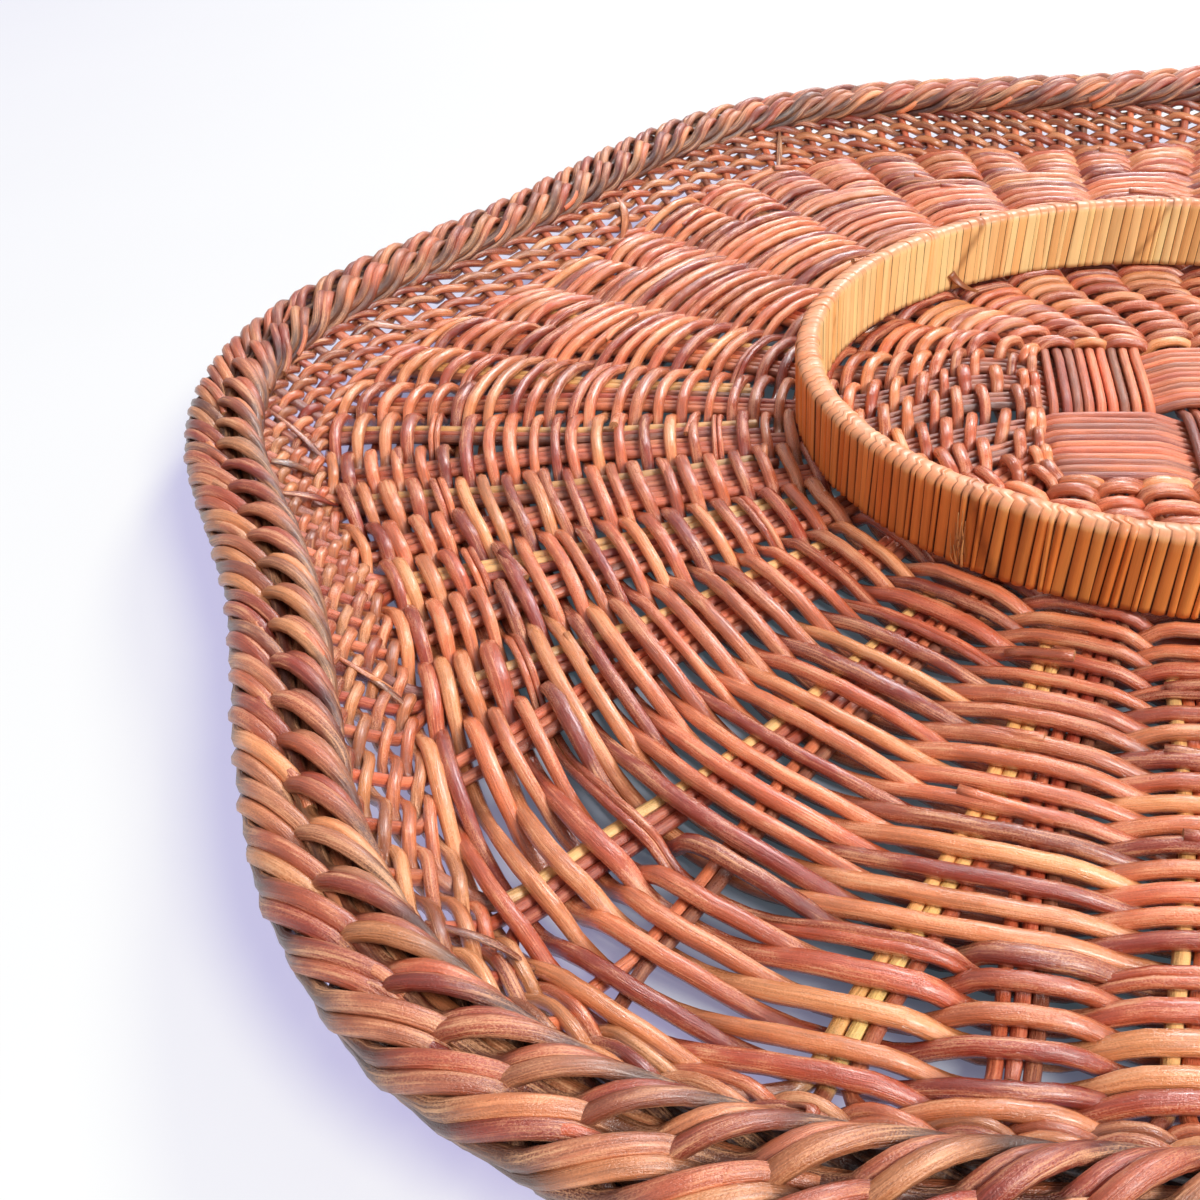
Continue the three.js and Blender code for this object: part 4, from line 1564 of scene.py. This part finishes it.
    def shape_turns(
        self, mesh: bpy.types.Mesh, section: list[tuple[float, float, bool]], stations: int
    ) -> None:
        """Move the corners of the spun ring to form the turns, and write their colours.

        Args:
            mesh: The spun ring.
            section: Its section, as outline gives it.
            stations: How many times the section stands in it.
        """
        rng = np.random.default_rng(61)
        flat = np.empty(len(mesh.vertices) * 3)
        mesh.vertices.foreach_get("co", flat)
        x, y, z = flat.reshape(-1, 3).T
        bearing = np.arctan2(y, x)
        station = np.round(bearing / TURN * stations).astype(int) % stations
        out = np.hypot(x, y) - self.plan.RING
        is_outside = smooth((out - 0.6) / 1.6)
        knots = np.array([(o, h) for o, h, _ in section])
        gaps = np.stack([out, z], axis=1)[:, None] - knots
        nearest = np.argmin(np.sum(gaps**2, axis=2), axis=1)
        is_skin = np.array([skin for _, _, skin in section])[nearest]
        turn, step = station // len(self.steps), station % len(self.steps)
        widths = np.clip(rng.normal(1.0, 0.26, self.turns), 0.55, 1.7)
        starts = np.concatenate([[0.0], np.cumsum(widths)]) / widths.sum() * TURN
        share = np.array(self.steps)[step]
        tall, middle = self.top - self.foot, (self.foot + self.top) / 2
        tilt = self.lean / self.plan.RING * (1 + 0.25 * rng.normal(size=self.turns)[turn])
        angle = mix(starts[turn], starts[turn + 1], share)
        angle = angle + is_skin * tilt * (z - middle) / tall * np.sign(out)
        depth = self.groove * np.clip(rng.normal(1.0, 0.35, self.turns), 0.3, 1.7)[turn]
        depth *= mix(1.0, 0.3, smooth((z - self.top + 2.2) / 1.6))
        depth *= mix(0.8, 1.25, smooth(out + 0.5))
        crest = np.sin(np.clip(share, 0, 1) * math.pi) ** 0.6
        proud = 0.12 * rng.normal(size=self.turns)[turn]
        sink = is_skin * (depth * (1 - crest) - proud * crest)
        axis = np.clip(z, self.foot, self.top - self.crown_height)
        away = unit(np.stack([out, z - axis], axis=1))
        out, z = out - away[:, 0] * sink, z - away[:, 1] * sink
        around = np.concatenate([[0.0], np.cumsum(np.linalg.norm(np.diff(knots, axis=0), axis=1))])
        across = share * widths[turn] * 2.7 + turn * 37.0
        grains = np.stack([across, turn * 1.0, around[nearest]], axis=1)
        crown = smooth((z - self.top + 1.6) / 1.2)
        beside = self.beside_gap * np.isin(step, (1, len(self.steps) - 1)) * smooth(out)
        gap = np.where(step == 0, mix(1.0, 0.55, crown), beside) * is_skin
        write(mesh, "gap", "FLOAT", "value", gap)
        tint = np.array(self.shades)[rng.integers(0, len(self.shades), self.turns)]
        tint = (tint * column(1 + 0.08 * rng.normal(size=self.turns)))[turn]
        # The crown tint is a painted pinkish sheen; the marks are dark splices
        overlays = [(self.outside_tint, is_outside * smooth((self.top - z) / 2.4)), (self.crown, crown)]
        slant = np.degrees(bearing) % 360 + 6 * (z - middle) / 16
        for at, reach, strength in self.marks:
            overlays.append((self.mark, strength * np.exp(-(((slant - at) / reach) ** 2))))
        for overlay, amount in overlays:
            tint = tint * mix(np.ones(3), np.array(overlay), column(amount))
        write_skin(mesh, polar(self.plan.RING + out, angle, z), grains, np.clip(tint, 0, 1))


@dataclass
class Studio:
    """Floor, soft lamps and the camera, as in the photograph."""

    lens: float = 38.46
    place: Colour = (-57.02, -254.93, 141.18)
    ahead: Colour = (-0.2140, 0.7821, -0.5854)
    right: Colour = (0.9763, 0.1925, -0.0996)
    # Colour and glow of the floor under the tray and beside it, and radii in metres between: the
    # darker floor under the tray is painted shade, and the glow is painted light, lavender beside
    # the tray, where it also tints the shadow
    shaded_floor_inside: Colour = srgb(146, 152, 166)
    glow_inside: Colour = (0.03, 0.045, 0.055)
    floor_outside: tuple[Colour, Colour] = (srgb(174, 180, 130), srgb(177, 183, 134))
    glow_outside: Colour = (0.445, 0.42, 0.71)
    floor_edge: tuple[float, float] = (0.15, 0.2)
    world: Colour = (0.92, 0.93, 1.0)
    world_strength: float = 0.45

    def build(self) -> None:
        """Set up everything that isn't the tray."""
        self.set_camera()
        self.lay_floor()
        self.hang_lamps()
        bpy.context.scene.view_settings.view_transform = "Standard"

    def set_camera(self) -> None:
        """Put the camera where the photograph was taken."""
        data = bpy.data.cameras.new("camera")
        data.lens = self.lens
        data.sensor_width = 36.0
        data.clip_start = 0.01
        camera = placed("camera", data)
        back = -Vector(self.ahead).normalized()
        up = back.cross(Vector(self.right)).normalized()
        turn = Matrix((up.cross(back), up, back)).transposed().to_4x4()
        camera.matrix_world = Matrix.Translation(Vector(self.place) * MM) @ turn
        bpy.context.scene.camera = camera

    def lay_floor(self) -> None:
        """Lay a wide pale floor, painted darker under the tray and glowing beside it."""
        shape = bmesh.new()
        bmesh.ops.create_grid(shape, x_segments=2, y_segments=2, size=4.0)
        mesh = finished(shape, "floor")
        shader = Shader("glowing_floor")
        grain = shader.noise(shader.scaled(shader.place(), (9.0, 9.0, 9.0)), 2.0)
        open_floor = shader.length(shader.place()).between(*self.floor_edge)
        pale = shader.blend(grain, *self.floor_outside)
        surface = {
            # Painted shade under the tray; beside it a glow, painted light
            "Base Color": shader.blend(open_floor, self.shaded_floor_inside, pale),
            "Roughness": 0.8,
            "Specular IOR Level": 0.2,
            "Emission Color": shader.blend(open_floor, self.glow_inside, self.glow_outside),
            "Emission Strength": 1.0,
        }
        mesh.materials.append(shader.done(surface))
        floor = placed("floor", mesh)

    def hang_lamps(self) -> None:
        """Light the tray softly from above and behind, with a pale surround."""
        self.lamp("right", (867.0, -727.0, 1131.0), 0.6, 24.5, (1.0, 0.97, 0.92))
        self.lamp("back", (300.0, 1400.0, 1100.0), 0.5, 18.0, (1.0, 0.97, 0.98))
        world = bpy.data.worlds.new("surround")
        world.use_nodes = True
        background = world.node_tree.nodes["Background"]
        background.inputs["Color"].default_value = (*self.world, 1.0)
        background.inputs["Strength"].default_value = self.world_strength
        bpy.context.scene.world = world

    def lamp(self, name: str, place: Colour, size: float, power: float, colour: Colour) -> None:
        """Hang one soft lamp that looks at the tray.

        Args:
            name: Its name.
            place: Its place, in millimetres.
            size: Its width, in metres.
            power: Its power, in watts.
            colour: Colour of its light.
        """
        data = bpy.data.lights.new(name, "AREA")
        data.shape = "DISK"
        data.size = size
        data.energy = power
        data.color = colour
        lamp = placed(name, data)
        at = Vector(place) * MM
        lamp.matrix_world = Matrix.Translation(at) @ at.to_track_quat("Z", "Y").to_matrix().to_4x4()


# ---------------------------------------------------------------- the tray


def main() -> None:
    """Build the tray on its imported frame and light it."""
    logging.basicConfig(level=logging.INFO, format="%(name)s %(message)s")
    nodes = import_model()["nodes"]
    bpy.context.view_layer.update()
    plan = Plan()
    cut = CutEndFinish("cut_reed").material()
    woven = ReedFinish("weaving_reed", gloss=1.0, inner_gloss=0.75).material()
    rods = ReedFinish("base_rod", inner_gloss=0.2, worn_share=0.3).material()
    rope = ReedFinish("border_rod", streaks=1.1, gloss=0.4, worn_share=0.8, relief=0.36).material()
    Weaving(plan, [woven, cut]).build()
    BaseRods(plan, [rods, cut]).build()
    SideStakes(plan, [rods, cut]).build()
    Wall(plan, [woven, cut]).build()
    Border(plan, [rope, cut]).build()
    cane, wood = CaneFinish("split_cane").material(), WoodFinish("hoop_wood").material()
    Ring(plan, nodes["ring_hoop"], cane, wood).build()
    Studio().build()


if __name__ == "__main__":
    main()
